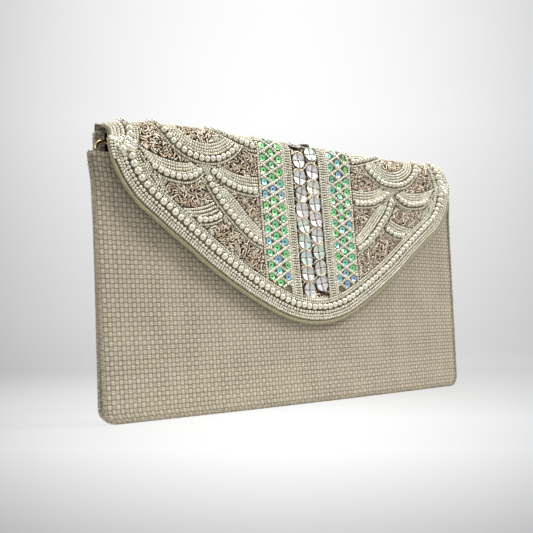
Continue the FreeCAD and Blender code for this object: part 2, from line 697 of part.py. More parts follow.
def ring_tab(name, side):
    """A strip of cover fabric folded round the ring's bar and sewn down the back lining."""
    loop_radius = "ring_wire_radius + tab_play"
    parts = []
    for radius in (f"{loop_radius} + tab_thick", loop_radius):
        part = doc.addObject("Part::Cylinder", f"{name}_round")
        bind(part, "Radius", radius)
        bind(part, "Height", "tab_width")
        part.Placement = Placement(Vector(0, 0, 0), Rotation(Vector(0, 1, 0), 90))
        bind(part, "Placement.Base.x", f"{side} * ring_offset - tab_width / 2")
        bind(part, "Placement.Base.y", "ring_setback")
        bind(part, "Placement.Base.z", "ring_height")
        parts.append(part)
    tail = doc.addObject("Part::Box", f"{name}_tail")
    bind(tail, "Length", "tab_width")
    bind(tail, "Width", "tab_thick")
    bind(tail, "Height", "tab_tail")
    bind(tail, "Placement.Base.x", f"{side} * ring_offset - tab_width / 2")
    bind(tail, "Placement.Base.y", f"ring_setback + {loop_radius} - layer_gap")
    bind(tail, "Placement.Base.z", "ring_height - tab_tail")
    whole = doc.addObject("Part::Fuse", f"{name}_whole")
    whole.Base, whole.Tool = parts[0], tail
    loop = doc.addObject("Part::Cut", f"{name}_loop")
    loop.Base, loop.Tool = whole, parts[1]
    keep(loop, name)


def d_ring(name, side):
    """A D-shaped wire ring: its bar lies in the tab, and its arch stands up, leaning back."""
    wire, half, leg = size("ring_wire_radius"), size("ring_half_width"), size("ring_leg")
    lean = Rotation(Vector(1, 0, 0), -size("ring_lean"))
    base = Vector(side * size("ring_offset"), size("ring_setback"), size("ring_height"))
    frame = Placement(base, lean)
    pieces = []
    bar = doc.addObject("Part::Cylinder", f"{name}_bar")
    bind(bar, "Radius", "ring_wire_radius")
    bind(bar, "Height", "2 * ring_half_width")
    bar.Placement = frame * Placement(Vector(-half, 0, 0), Rotation(Vector(0, 1, 0), 90))
    pieces.append(bar)
    for end in (-1, 1):
        corner = doc.addObject("Part::Sphere", f"{name}_corner")
        bind(corner, "Radius", "ring_wire_radius")
        corner.Placement = frame * Placement(Vector(end * half, 0, 0), Rotation())
        post = doc.addObject("Part::Cylinder", f"{name}_leg")
        bind(post, "Radius", "ring_wire_radius")
        bind(post, "Height", "ring_leg")
        post.Placement = frame * Placement(Vector(end * half, 0, 0), Rotation())
        pieces += [corner, post]
    arch = doc.addObject("Part::Torus", f"{name}_arch")
    bind(arch, "Radius1", "ring_half_width")
    bind(arch, "Radius2", "ring_wire_radius")
    arch.Angle3 = 180
    standing = Rotation(Vector(1, 0, 0), 90)
    arch.Placement = frame * Placement(Vector(0, 0, leg), standing)
    pieces.append(arch)
    ring = doc.addObject("Part::MultiFuse", f"{name}_ring")
    ring.Shapes = pieces
    keep(ring, name)


# ---------------------------------------------------------------- beads and trim

def face_point(across, height, lift):
    return Vector(across, -size("flap_face") - lift, height)


def three_point_arc(points, side, lift):
    ends = [face_point(side * across, height, lift) for across, height in points]
    return Part.Wire(Part.Arc(*ends).toShape())


def spheres_along(wire, radius, pitch):
    count = max(2, int(wire.Length / pitch) + 1)
    return [Part.makeSphere(radius, point) for point in wire.discretize(Number=count)]


def flat_disc(across, height, radius, thick, lift):
    return Part.makeCylinder(radius, thick, face_point(across, height, lift), Vector(0, -1, 0))


def border_beads():
    gap, seed, pearl = size("bead_gap"), size("seed_radius"), size("pearl_radius")
    path = edge_path(size("pearl_inset"), pearl + gap)
    trim("border_pearls", spheres_along(path, pearl, size("pearl_pitch")))
    rows = [tube(edge_path(inset, seed + gap), seed) for inset in SEED_INSETS]
    trim("border_seed_rows", rows)


def scale_motifs():
    gap, pearl, seed = size("bead_gap"), size("scale_pearl_radius"), size("seed_radius")
    pearls, seeds, patches = [], [], []
    for side in (-1, 1):
        for arc in PEARL_ARCS:
            wire = three_point_arc(arc, side, pearl + gap)
            pearls += spheres_along(wire, pearl, size("scale_pearl_pitch"))
        for arc in SEED_ARCS:
            seeds.append(tube(three_point_arc(arc, side, seed + gap), seed))
        for patch in BULLION_PATCHES:
            corners = [face_point(side * across, height, gap) for across, height in patch]
            face = Part.Face(Part.makePolygon(corners + corners[:1]))
            patches.append(face.extrude(Vector(0, -size("bullion_thick"), 0)))
    trim("scale_pearls", pearls)
    trim("scale_seed_rows", seeds)
    trim("bullion_fill", patches)


def centre_panel():
    gap, seed = size("bead_gap"), size("seed_radius")
    large, thick, pitch = size("sequin_radius"), size("sequin_thick"), size("sequin_pitch")
    wire = size("loop_wire_radius")
    sequins, loops = [], []
    for side, top, count in SEQUIN_COLUMNS:
        for number in range(count):
            across, height = side * size("sequin_column"), top - number * pitch
            sequins.append(flat_disc(across, height, large, thick, gap))
            loop_radius = (pitch + 2 * gap) / 2
            loop = Part.makeTorus(loop_radius, wire, Vector(0, 0, 0), Vector(0, 0, 1), 0, 360, LOOP_SWEEP)
            upright = Placement(face_point(across, height, wire + gap), Rotation(Vector(1, 0, 0), 90))
            turned = Placement(Vector(0, 0, 0), Rotation(Vector(0, 0, 1), LOOP_START))
            loop.Placement = upright * turned
            loops.append(loop)
    trim("centre_sequins", sequins)
    trim("centre_bullion_loops", loops)
    spangles, strings, dividers = [], [], []
    for side in (-1, 1):
        for across, top, count in SPANGLE_COLUMNS:
            for number in range(count):
                height = top - number * size("spangle_pitch")
                spangles.append(flat_disc(side * across, height, size("spangle_radius"),
                                          size("spangle_thick"), gap))
        for rows, group in ((LATTICE_STRINGS, strings), (DIVIDER_ROWS, dividers)):
            for across in rows:
                foot = ROW_FOOT + max(0.0, across - FIRST_ROW) * ROW_SLOPE
                low = face_point(side * across, foot, seed + gap)
                group.append(Part.makeCylinder(seed, TOP_OF_FACE - foot, low, Vector(0, 0, 1)))
    trim("lattice_sequins", spangles)
    trim("lattice_cords", strings)
    trim("divider_bead_rows", dividers)


# ---------------------------------------------------------------- build, check and write

def check_and_write():
    doc.recompute()
    for item in doc.Objects:
        if "Invalid" in item.State or "Error" in item.State:
            raise RuntimeError(f"{item.Name} failed: {item.State}")
    for item in sub_parts:
        shape = item.Shape
        if shape.isNull() or not shape.isValid() or not shape.Solids:
            raise RuntimeError(f"{item.Label} has no valid solid")
    os.makedirs("parts", exist_ok=True)
    for item in sub_parts:
        item.Shape.exportStep(f"parts/{item.Label}.step")
        box = item.Shape.BoundBox
        print(f"{item.Label:22s} {len(item.Shape.Solids):4d} {item.Shape.Volume:10.1f} mm3 "
              f"x {box.XMin:7.1f} {box.XMax:6.1f} y {box.YMin:6.1f} {box.YMax:5.1f} "
              f"z {box.ZMin:6.1f} {box.ZMax:6.1f}")


pouch_front()
pouch_back()
base_strip()
rod("front_mouth_hem", "hem_radius", "gusset_edge", "0 - hem_setback", "front_height + hem_radius")
slip_pocket()
gusset("left_gusset", -1)
gusset("right_gusset", 1)
flap()
magnetic_snap()
for side_name, side in (("left", -1), ("right", 1)):
    ring_tab(f"{side_name}_ring_tab", side)
    d_ring(f"{side_name}_d_ring", side)
border_beads()
scale_motifs()
centre_panel()
check_and_write()
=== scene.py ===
import math
import random

import bpy
import numpy as np
from mathutils import Matrix, Vector
from mathutils.kdtree import KDTree


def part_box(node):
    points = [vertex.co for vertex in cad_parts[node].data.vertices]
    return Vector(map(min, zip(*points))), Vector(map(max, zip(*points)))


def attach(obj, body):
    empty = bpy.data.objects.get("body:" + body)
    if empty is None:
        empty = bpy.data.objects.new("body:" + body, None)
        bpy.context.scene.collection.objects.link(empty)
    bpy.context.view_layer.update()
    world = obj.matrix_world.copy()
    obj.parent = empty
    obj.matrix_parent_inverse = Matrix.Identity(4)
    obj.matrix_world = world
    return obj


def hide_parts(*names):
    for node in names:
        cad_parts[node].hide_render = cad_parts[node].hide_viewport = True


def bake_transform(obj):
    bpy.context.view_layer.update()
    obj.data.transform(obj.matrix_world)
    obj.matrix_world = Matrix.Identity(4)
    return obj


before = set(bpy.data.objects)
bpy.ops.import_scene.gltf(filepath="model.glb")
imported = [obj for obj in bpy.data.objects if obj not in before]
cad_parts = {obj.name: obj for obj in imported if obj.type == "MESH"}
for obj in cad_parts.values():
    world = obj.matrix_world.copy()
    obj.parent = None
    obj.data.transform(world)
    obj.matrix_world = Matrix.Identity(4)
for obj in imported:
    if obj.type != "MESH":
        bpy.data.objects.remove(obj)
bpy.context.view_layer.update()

MM = 0.001
RNG = np.random.default_rng(41)
random.seed(41)


def box_mm(node):
    """A CAD node's lowest and highest corners in millimetres."""
    low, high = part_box(node)
    return np.array(low) / MM, np.array(high) / MM


def link(name, data):
    made = bpy.data.objects.new(name, data)
    bpy.context.scene.collection.objects.link(made)
    return made


HALF_WIDTH, _, MOUTH_Z = box_mm("front_cover")[1]
FLAP_LOW, FLAP_HIGH = box_mm("flap_base")
FLAP_HALF = FLAP_HIGH[0]
TIP_Z = FLAP_LOW[2]

# ---------------------------------------------------------------- camera
VIEW_YAW = math.radians(31)
VIEW_ROLL = math.radians(-2.94)
VIEW_PITCH = math.radians(0.08)
CAMERA_AT = (-0.1978, -0.2802, 0.0350)
FOCAL_PX = 554.4
PICTURE_PX = 533
SENSOR_MM = 36.0
SHIFT_UP = 0.1486

level_right = Vector((math.cos(VIEW_YAW), -math.sin(VIEW_YAW), 0))
level_ahead = Vector((math.sin(VIEW_YAW), math.cos(VIEW_YAW), 0))
ahead = level_ahead * math.cos(VIEW_PITCH) + Vector((0, 0, math.sin(VIEW_PITCH)))
level_up = level_right.cross(ahead)
cam_right = level_right * math.cos(VIEW_ROLL) + level_up * math.sin(VIEW_ROLL)
cam_up = level_up * math.cos(VIEW_ROLL) - level_right * math.sin(VIEW_ROLL)
camera_data = bpy.data.cameras.new("camera")
camera_data.lens = FOCAL_PX * SENSOR_MM / PICTURE_PX
camera_data.sensor_width = SENSOR_MM
camera_data.shift_y = SHIFT_UP
camera_data.clip_start = 0.01
camera = link("camera", camera_data)
camera.matrix_world = Matrix.Translation(CAMERA_AT) @ Matrix(
    (cam_right, cam_up, -ahead)).transposed().to_4x4()
bpy.context.scene.camera = camera
bpy.context.scene.view_settings.view_transform = "Standard"


# ---------------------------------------------------------------- materials
class Value:
    """A number or colour in a node tree; arithmetic on it adds math nodes."""

    def __init__(self, paint, socket):
        self.paint = paint
        self.socket = socket

    def math(self, kind, other=0.0):
        return self.paint.node("Math", {0: self, 1: other}, operation=kind)

    def __add__(self, other):
        return self.math("ADD", other)

    def __sub__(self, other):
        return self.math("SUBTRACT", other)

    def __rsub__(self, other):
        return self.paint.node("Math", {0: other, 1: self}, operation="SUBTRACT")

    def __mul__(self, other):
        return self.math("MULTIPLY", other)

    def __truediv__(self, other):
        return self.math("DIVIDE", other)

    def __pow__(self, other):
        return self.math("POWER", other)

    def __mod__(self, other):
        return self.math("FLOORED_MODULO", other)

    def __abs__(self):
        return self.math("ABSOLUTE")


class Paint:
    """A material's node tree, built node by node."""

    def __init__(self, name, **sockets):
        self.mat = bpy.data.materials.new(name)
        self.mat.use_nodes = True
        self.tree = self.mat.node_tree
        self.tree.nodes.clear()
        out = self.tree.nodes.new("ShaderNodeOutputMaterial")
        self.shader = self.tree.nodes.new("ShaderNodeBsdfPrincipled")
        self.tree.links.new(self.shader.outputs[0], out.inputs[0])
        self.set(**sockets)

    def put(self, socket, value):
        if isinstance(value, Value):
            self.tree.links.new(value.socket, socket)
        elif socket.type == "RGBA":
            socket.default_value = (*value, 1)
        else:
            socket.default_value = value

    def set(self, **sockets):
        for name, value in sockets.items():
            self.put(self.shader.inputs[name.replace("_", " ")], value)

    def node(self, kind, inputs, output=0, **settings):
        """Adds a node with its inputs and settings, and gives one of its outputs."""
        node = self.tree.nodes.new("ShaderNode" + kind)
        for name, value in settings.items():
            setattr(node, name, value)
        for name, value in inputs.items():
            self.put(node.inputs[name], value)
        return Value(self, node.outputs[output])

    def mix(self, share, a, b):
        return self.node("Mix", {0: share, 6: a, 7: b}, 2, data_type="RGBA")

    def ramp(self, share, *stops):
        made = self.node("ValToRGB", {0: share})
        points = made.socket.node.color_ramp.elements
        while len(points) < len(stops):
            points.new(0.5)
        for point, (place, colour) in zip(points, stops):
            point.position = place
            point.color = (*colour, 1)
        return made

    def spread(self, value, low, high, to_low=0.0, to_high=1.0):
        return self.node("MapRange", dict(enumerate((value, low, high, to_low, to_high))))

    def noise(self, scale, detail, vector=None):
        return self.node("TexNoise", {"Vector": vector or self.place(), "Scale": scale, "Detail": detail})

    def place(self):
        return self.node("TexCoord", {}, "Object")

    def threads(self):
        """The weave map, and its two numbers, counted in threads."""
        uv = self.node("UVMap", {}, uv_map="weave")
        across = self.node("SeparateXYZ", {0: uv})
        return uv, across, Value(self, across.socket.node.outputs[1])

    def vector(self, x, y):
        return self.node("CombineXYZ", {0: x, 1: y})

    def tone(self):
        return self.node("Attribute", {}, "Fac", attribute_name="tone")

    def painted_shade(self):
        """How much painted shade a point gets: 0 at the top of the embroidery, more lower down and in holes.
        """
        return 1.0 - self.node("Attribute", {}, "Fac", attribute_name="depth")

    def bump(self, height, strength, distance):
        made = self.node("Bump", {"Strength": strength, "Distance": distance * MM, "Height": height})
        self.set(Normal=made)


def woven(name, light, mid, dark):
    """A 2 x 2 basket weave of slubby linen threads, with pin-holes where four blocks meet, and painted
    highlight and shade from the float heights in its colour.
    """
    p = Paint(name, Sheen_Weight=0.12, Sheen_Roughness=0.5, Specular_IOR_Level=0.25)
    uv, u, v = p.threads()
    u = u + (p.noise(0.55, 3.0, uv) - 0.5) * 0.26
    v = v + (p.noise(0.47, 3.0, uv) - 0.5) * 0.22

    def ridge(thread, waves, power):
        return abs((thread * (math.pi * waves)).math("SINE")) ** power

    def floating(thread, other, level):
        """The height of a pair of threads where it floats over the other pair."""
        swell = ridge(thread, 0.5, 0.3) * (ridge(other, 0.5, 0.7) * (0.75 * level) + 0.25 * level)
        return swell * (ridge(thread, 1, 0.6) * 0.5 + 0.5)

    warp = ((u * 0.5).math("FLOOR") + (v * 0.5).math("FLOOR")) % 2.0
    weft = 1.0 - warp
    height = floating(v, u, 1.0) * weft + floating(u, v, 0.9) * warp
    fibre = (p.noise(1.0, 4.0, p.vector(u * 0.9, v * 9.0)) * weft
             + p.noise(1.0, 4.0, p.vector(u * 9.0, v * 0.9)) * warp)
    thread = v.math("FLOOR") * weft + (u.math("FLOOR") + 500.5) * warp
    dyed = p.node("TexWhiteNoise", {"Vector": p.vector(thread, 0.5)}, noise_dimensions="2D")
    # painted highlight and shade: the float heights lighten float middles and darken float ends, grooves and
    # pin-holes; thread tone, fibre and mottling are the cloth's own, and weft floats are a little lighter
    shade = (height * 0.66 + (fibre - 0.5) * 0.22 + (dyed - 0.5) * 0.10 + weft * 0.09
             + (p.noise(0.05, 2.0, uv) - 0.5) * 0.16)
    p.set(Base_Color=p.ramp(shade, (0.08, dark), (0.26, tuple(0.72 * c for c in mid)),
                            (0.44, mid), (0.84, light)),
          Roughness=p.spread(height, 0.0, 1.0, 0.92, 0.68))
    p.bump(height + fibre * 0.25, 0.9, 0.32)
    return p.mat


def ribs(u, v, pitch):
    return abs(((u + v) * pitch).math("SINE"))


def satin_lining(name, light, dark):
    """Dark twill lining: fine diagonal ribs and a soft sheen."""
    p = Paint(name, Sheen_Weight=0.25, Sheen_Roughness=0.4)
    uv, u, v = p.threads()
    rib = ribs(u, v, 3.6)
    cloud = p.noise(0.12, 3.0, uv)
    p.set(Base_Color=p.ramp(rib * 0.4 + cloud * 0.6, (0.2, dark), (0.8, light)),
          Roughness=p.spread(cloud, 0.3, 0.7, 0.42, 0.6))
    p.bump(rib, 0.4, 0.08)
    return p.mat


def beads(name, low, high, rough, hole_shade, coat, grain, metal):
    """Bead enamel: a tone for each bead, with painted shade towards its holes and underside."""
    p = Paint(name, Coat_Weight=coat, Coat_Roughness=0.06, Metallic=metal)
    worn = p.noise(900.0, 2.0)
    # painted shade: the colour is mixed towards a dark shade colour at the holes and underside
    p.set(Base_Color=p.mix(p.painted_shade() * 0.9, p.ramp(p.tone(), (0.0, low), (1.0, high)), hole_shade),
          Roughness=p.spread(worn, 0.3, 0.7, rough * 0.8, rough * 1.25))
    p.bump(worn, grain, 0.05)
    return p.mat


def pearl_paint():
    """Ivory pearl: a lustre that mirrors the room softly, tiny pits in the lacquer."""
    p = Paint("pearl_lacquer", Metallic=0.42, Coat_Weight=1.0, Coat_Roughness=0.04)
    body = p.ramp(p.tone(), (0.0, (0.86, 0.79, 0.61)), (1.0, (0.98, 0.94, 0.79)))
    pits = p.noise(1400.0, 2.0)
    # painted shade: darker towards the drill holes at the poles
    p.set(Base_Color=p.mix(p.painted_shade() * 0.8, body, (0.30, 0.23, 0.12)),
          Roughness=p.spread(pits, 0.3, 0.7, 0.15, 0.26))
    p.bump(pits, 0.08, 0.04)
    return p.mat


def wire_paint():
    """Rose-gold bullion: coiled wire whose turns show as fine ribs, with painted shade in the valleys between
    wires and patchy tarnish.
    """
    p = Paint("bullion_wire", Metallic=0.85)
    _, _, v = p.threads()
    tarnish = p.noise(260.0, 3.0)
    base = p.ramp(p.tone(), (0.0, (0.58, 0.45, 0.31)), (0.5, (0.77, 0.65, 0.48)),
                  (1.0, (0.97, 0.89, 0.74)))
    # painted shade where the wires lie low and at their ends, plus patchy tarnish from noise
    shade = p.painted_shade() * 0.8 + p.spread(tarnish, 0.5, 0.75) * 0.3
    p.set(Base_Color=p.mix(shade, base, (0.05, 0.03, 0.018)),
          Roughness=p.spread(tarnish, 0.3, 0.7, 0.26, 0.46))
    p.bump(abs((v * 9.0).math("SINE")), 0.5, 0.10)
    return p.mat


def sequin_paint(name, stops, rough, grain):
    """Foil sequin: the film's colour shifts with the angle and from sequin to sequin."""
    p = Paint(name, Metallic=0.3, Coat_Weight=0.8, Coat_Roughness=0.05)
    tilted = p.node("LayerWeight", {0: 0.35}, "Facing")
    hue = (p.tone() + (tilted * 0.25 + p.noise(grain, 1.0) * 0.5)).math("FRACT")
    scratch = p.noise(700.0, 3.0)
    # painted shade: darker in the four grooves and at the hole
    p.set(Base_Color=p.mix(p.painted_shade(), p.ramp(hue, *stops), (0.05, 0.045, 0.03)),
          Roughness=p.spread(scratch, 0.3, 0.7, rough * 0.7, rough * 1.5))
    p.bump(scratch, 0.10, 0.05)
    return p.mat


def satin_paint():
    """Olive-gold satin bias tape, its twill turning round the cord."""
    p = Paint("piping_satin", Roughness=0.42, Sheen_Weight=0.3, Sheen_Roughness=0.35)
    uv, u, v = p.threads()
    twill = ribs(u, v, 5.0)
    p.set(Base_Color=p.ramp(twill * 0.45 + p.noise(0.8, 3.0, uv) * 0.55, (0.15, (0.16, 0.135, 0.06)),
                            (0.55, (0.36, 0.31, 0.17)), (0.95, (0.66, 0.58, 0.36))))
    p.bump(twill, 0.5, 0.12)
    return p.mat


def metal_paint(name, colour, tarnish_colour, rough):
    p = Paint(name, Metallic=1.0)
    cloud = p.noise(220.0, 4.0)
    p.set(Base_Color=p.mix(p.spread(cloud, 0.5, 0.8), colour, tarnish_colour),
          Roughness=p.spread(cloud, 0.3, 0.7, rough * 0.7, rough * 1.5))
    p.bump(p.noise(2500.0, 2.0), 0.08, 0.03)
    return p.mat


LINEN = woven("linen_basket", (0.80, 0.715, 0.55), (0.52, 0.455, 0.335), (0.10, 0.075, 0.045))
GROUND = woven("embroidery_ground", (0.52, 0.45, 0.31), (0.34, 0.285, 0.18), (0.10, 0.075, 0.04))
LINING = satin_lining("lining_twill", (0.060, 0.043, 0.030), (0.022, 0.015, 0.010))
# near-black ground under the bullion and centre wires: painted shade in their gaps
BROWN = Paint("bullion_shade_ground", Roughness=0.8)
BROWN.set(Base_Color=BROWN.ramp(BROWN.noise(500.0, 3.0), (0.3, (0.035, 0.020, 0.011)),
                                (0.7, (0.10, 0.06, 0.035))))
BROWN.bump(BROWN.noise(1500.0, 2.0), 0.5, 0.1)
SEED = beads("seed_enamel", (0.76, 0.70, 0.52), (0.99, 0.96, 0.81), 0.26, (0.22, 0.17, 0.09), 0.7, 0.12,
             0.25)
CORD_WHITE = beads("cord_cotton", (0.66, 0.63, 0.52), (0.84, 0.82, 0.73), 0.55, (0.20, 0.17, 0.10), 0.0, 0.42,
                   0.0)
PEARL = pearl_paint()
WIRE = wire_paint()
WHITE_SEQUIN = sequin_paint("sequin_white", (
    (0.0, (0.66, 0.68, 0.64)), (0.30, (0.80, 0.81, 0.79)), (0.45, (0.84, 0.76, 0.78)),
    (0.60, (0.72, 0.79, 0.87)), (0.74, (0.66, 0.86, 0.73)), (0.88, (0.84, 0.83, 0.73)),
    (1.0, (0.66, 0.68, 0.64))), 0.3, 330.0)
GREEN_SEQUIN = sequin_paint("sequin_green", (
    (0.0, (0.30, 0.90, 0.28)), (0.35, (0.28, 0.92, 0.36)), (0.58, (0.28, 0.92, 0.52)),
    (0.76, (0.30, 0.88, 0.78)), (0.88, (0.34, 0.66, 0.95)), (0.95, (0.46, 0.56, 0.90)),
    (1.0, (0.30, 0.90, 0.30))), 0.25, 170.0)
PIPING = satin_paint()
GOLD = metal_paint("ring_gold", (0.90, 0.66, 0.32), (0.45, 0.30, 0.13), 0.22)
STEEL = metal_paint("snap_nickel", (0.62, 0.61, 0.58), (0.34, 0.33, 0.31), 0.3)


# ---------------------------------------------------------------- meshes
def unit(vectors):
    return vectors / np.maximum(np.linalg.norm(vectors, axis=-1, keepdims=True), 1e-9)


def lengths(line):
    """The length along a line up to each of its points."""
    return np.concatenate([[0], np.cumsum(np.linalg.norm(np.diff(line, axis=0), axis=1))])


def smooth_mesh(name, points, faces, material):
    mesh = bpy.data.meshes.new(name)
    mesh.from_pydata(points.tolist(), [], faces)
    mesh.materials.append(material)
    mesh.polygons.foreach_set("use_smooth", np.ones(len(mesh.polygons), bool))
    return mesh


def piece(name, points, faces, material, uv, attributes=()):
    """A mesh object from points in millimetres. uv and attributes hold a row for each point."""
    mesh = smooth_mesh(name, points * MM, faces, material)
    corners = np.zeros(len(mesh.loops), np.int32)
    mesh.loops.foreach_get("vertex_index", corners)
    layer = mesh.uv_layers.new(name="weave")
    layer.data.foreach_set("uv", np.asarray(uv, np.float32)[corners].ravel())
    for key, values in attributes:
        made = mesh.attributes.new(key, "FLOAT", "POINT")
        made.data.foreach_set("value", np.asarray(values, np.float32))
    mesh.update()
    made = link(name, mesh)
    return made


def grid_faces(rows, columns, closed=False, start=0, flip=False):
    """Quads of a grid of points stored row by row; closed joins each row's ends."""
    made = []
    for r in range(rows - 1):
        for c in range(columns if closed else columns - 1):
            d = (c + 1) % columns
            quad = [start + r * columns + c, start + r * columns + d,
                    start + (r + 1) * columns + d, start + (r + 1) * columns + c]
            made.append(quad[::-1] if flip else quad)
    return made


def lathe(profile, sides):
    """Points and faces of a turned shape about Z, from its (radius, height) pairs."""
    turns = 2 * math.pi * np.arange(sides) / sides
    points = [(radius * math.cos(a), radius * math.sin(a), height)
              for radius, height in profile for a in turns]
    return np.array(points), grid_faces(len(profile), sides, closed=True)


def tube(line, normals, radius, sides, wave=None, squash=1.0):
    """A round tube along a line, with its across and along numbers; wave gives radius at a length."""
    forward = unit(np.gradient(line, axis=0))
    side = unit(np.cross(forward, normals))
    up = np.cross(side, forward)
    run = lengths(line)
    thick = radius if wave is None else radius * wave(run)[:, None]
    turns = 2 * math.pi * np.arange(sides) / sides
    points = [line + thick * (side * math.cos(a) + up * math.sin(a) * squash) for a in turns]
    uv = [np.stack([np.full(len(run), 4.0 * k / sides), run], axis=1) for k in range(sides)]
    faces = grid_faces(len(line), sides, closed=True)
    faces.append(list(range(sides))[::-1])
    faces.append([(len(line) - 1) * sides + k for k in range(sides)])
    return np.stack(points, axis=1).reshape(-1, 3), faces, np.stack(uv, axis=1).reshape(-1, 2)


class Heap:
    """Gathers many small meshes into one."""

    def __init__(self):
        self.points, self.faces, self.uv, self.tone, self.depth, self.count = [], [], [], [], [], 0

    # depth is each point's share of light, 1 fully lit: below 1 the materials mix in painted shade
    def add(self, points, faces, uv=None, tone=0.5, depth=1.0):
        n = len(points)
        self.points.append(points)
        self.faces += [[i + self.count for i in f] for f in faces]
        self.uv.append(np.zeros((n, 2)) if uv is None else uv)
        self.tone.append(np.full(n, 1.0) * tone)
        self.depth.append(np.full(n, 1.0) * depth)
        self.count += n

    def make(self, name, material):
        return piece(name, np.concatenate(self.points), self.faces, material,
                     np.concatenate(self.uv),
                     [("tone", np.concatenate(self.tone)), ("depth", np.concatenate(self.depth))])


def spline(points, count):
    """count points evenly along a smooth line through the given ones."""
    p = np.asarray(points, float)
    ends = np.concatenate([[2 * p[0] - p[1]], p, [2 * p[-1] - p[-2]]])
    fine = []
    for k in range(1, len(ends) - 2):
        a, b, c, d = ends[k - 1:k + 3]
        for t in np.linspace(0, 1, 24, endpoint=False):
            fine.append(0.5 * (2 * b + (c - a) * t + (2 * a - 5 * b + 4 * c - d) * t ** 2
                               + (3 * b - a - 3 * c + d) * t ** 3))
    fine.append(p[-1])
    return even(np.array(fine), count=count)


def even(line, pitch=None, count=None):
    """Points evenly along a line, count of them or about a pitch apart."""
    line = np.asarray(line, float)
    run = lengths(line)
    if count is None:
        count = max(2, int(round(run[-1] / pitch)) + 1)
    at = np.linspace(0, run[-1], count)
    return np.stack([np.interp(at, run, values) for values in line.T], axis=1)


# ---------------------------------------------------------------- the pouch's surfaces
WARP_PITCH = 1.05
WEFT_PITCH = 1.21
CORNER = 6.5
FRONT_Y = 4.5
SKIN = 0.6


def soft_step(share):
    share = np.clip(share, 0, 1)
    return share * share * (3 - 2 * share)


def front_bow(z):
    return np.clip(5.0 - 4.5 * (z - 1.5) / 133.9, 0.4, 5.2)


def back_bow(z):
    return np.clip(5.0 - 4.7 * (z - 1.5) / 148.0, 0.3, 5.2)


def front_y(x, z):
    """Outer face of the front panel, which bellies out low down and is a little slack."""
    slack = 0.22 * np.sin(x * 0.041 + 1.3) * np.sin(z * 0.052 + 0.4) + 0.12 * np.sin(x * 0.09 - z * 0.07)
    return -FRONT_Y - (front_bow(z) + slack * 0.7) * (1 - (x / HALF_WIDTH) ** 2)


def back_y(x, z):
    slack = 0.25 * np.sin(x * 0.035 + 0.5) * np.sin(z * 0.045 + 1.1)
    lean = FRONT_Y + (z - 0.95) / 149.0
    return lean + (back_bow(z) + slack * 0.7) * (1 - (x / HALF_WIDTH) ** 2)


def back_half(z):
    return HALF_WIDTH - 3.7 * np.clip((z - 0.95) / 149.0, 0, 1) - 0.9 * soft_step((z - 105) / 30)


def corner_share(z, half):
    """How much of the half width a row at height z keeps, for the rounded lower corners."""
    low = np.clip(CORNER - z, 0, CORNER)
    return (half - CORNER + np.sqrt(np.maximum(CORNER ** 2 - low ** 2, 0))) / half


def weave_height(u, v):
    """Height of a crossing in the basket weave: weft floats stand over warp floats."""
    return np.where((np.floor(u / 2) + np.floor(v / 2)) % 2 < 0.5, 0.06, -0.06)


def shell(outer, normal, thickness, flip, flip_rim):
    """Points and faces of a cloth with two faces and a rim, from the grid of its outer face."""
    rows, columns = outer.shape[:2]
    n = rows * columns
    last = n - columns
    faces = grid_faces(rows, columns, flip=flip) + grid_faces(rows, columns, start=n, flip=not flip)
    rim = [*range(columns), *range(2 * columns - 1, n, columns), *range(n - 2, last - 1, -1),
           *range(last - columns, 0, -columns)]
    for a, b in zip(rim, rim[1:] + rim[:1]):
        quad = [a, a + n, b + n, b]
        faces.append(quad[::-1] if flip_rim else quad)
    inner = outer - normal * thickness
    return np.concatenate([outer.reshape(-1, 3), inner.reshape(-1, 3)]), faces


def grid_normals(grid):
    return unit(np.cross(np.gradient(grid, axis=1), np.gradient(grid, axis=0)))


def woven_panel(name, heights, y_at, half_at, outward, turn_top, turn_low):
    """A cover panel: a grid of points a thread apart, raised with the weave, turned in at its rim.

    heights are the rows' z; turn_top and turn_low are extra rows (y offset inward, z) at the ends.
    """
    columns = 2 * int(HALF_WIDTH / WARP_PITCH) + 1
    share = np.linspace(-1, 1, columns)

    def row_at(height, y_in, z):
        x = share * half_at(height) * corner_share(height, half_at(height))
        return np.stack([x, y_at(x, height) - outward * y_in, np.full(columns, z)], axis=1)

    rows = np.array([row_at(heights[0], *turn) for turn in turn_low[::-1]]
                    + [row_at(z, 0, z) for z in heights]
                    + [row_at(heights[-1], *turn) for turn in turn_top])
    run = lengths(rows[:, columns // 2])
    u = np.broadcast_to((share * (columns // 2) + 0.5)[None], rows.shape[:2])
    v = np.broadcast_to(((run - run[len(turn_low)]) / WEFT_PITCH + 0.5)[:, None], u.shape)
    normal = grid_normals(rows)
    if normal[len(rows) // 2, columns // 2, 1] * outward < 0:
        normal = -normal
    rows = rows + normal * weave_height(u, v)[:, :, None]
    points, faces = shell(rows, normal, SKIN, outward > 0, outward > 0)
    uv = np.stack([u, v], axis=2).reshape(-1, 2)
    return piece(name, points, faces, LINEN, np.concatenate([uv, uv]))


def rim_line(y_at, half_at, low, high, step=0.8):
    """The line down one side, round the lower corners and up the other, on a panel's face."""
    z = np.arange(high, CORNER, -step)
    left = [(-half_at(h), h) for h in z]
    half = half_at(CORNER)
    arc = [(-(half - CORNER) - CORNER * math.cos(a), low + CORNER - CORNER * math.sin(a))
           for a in np.linspace(0, math.pi / 2, 16)]
    base = [(x, low) for x in np.arange(-(half - CORNER) + step, 0, step)]
    side = left + arc + base
    line = side + [(-x, h) for x, h in side[::-1]]
    line = even(np.array(line), pitch=step)
    return np.array([(x, float(y_at(np.array(x), np.array(h))), h) for x, h in line])


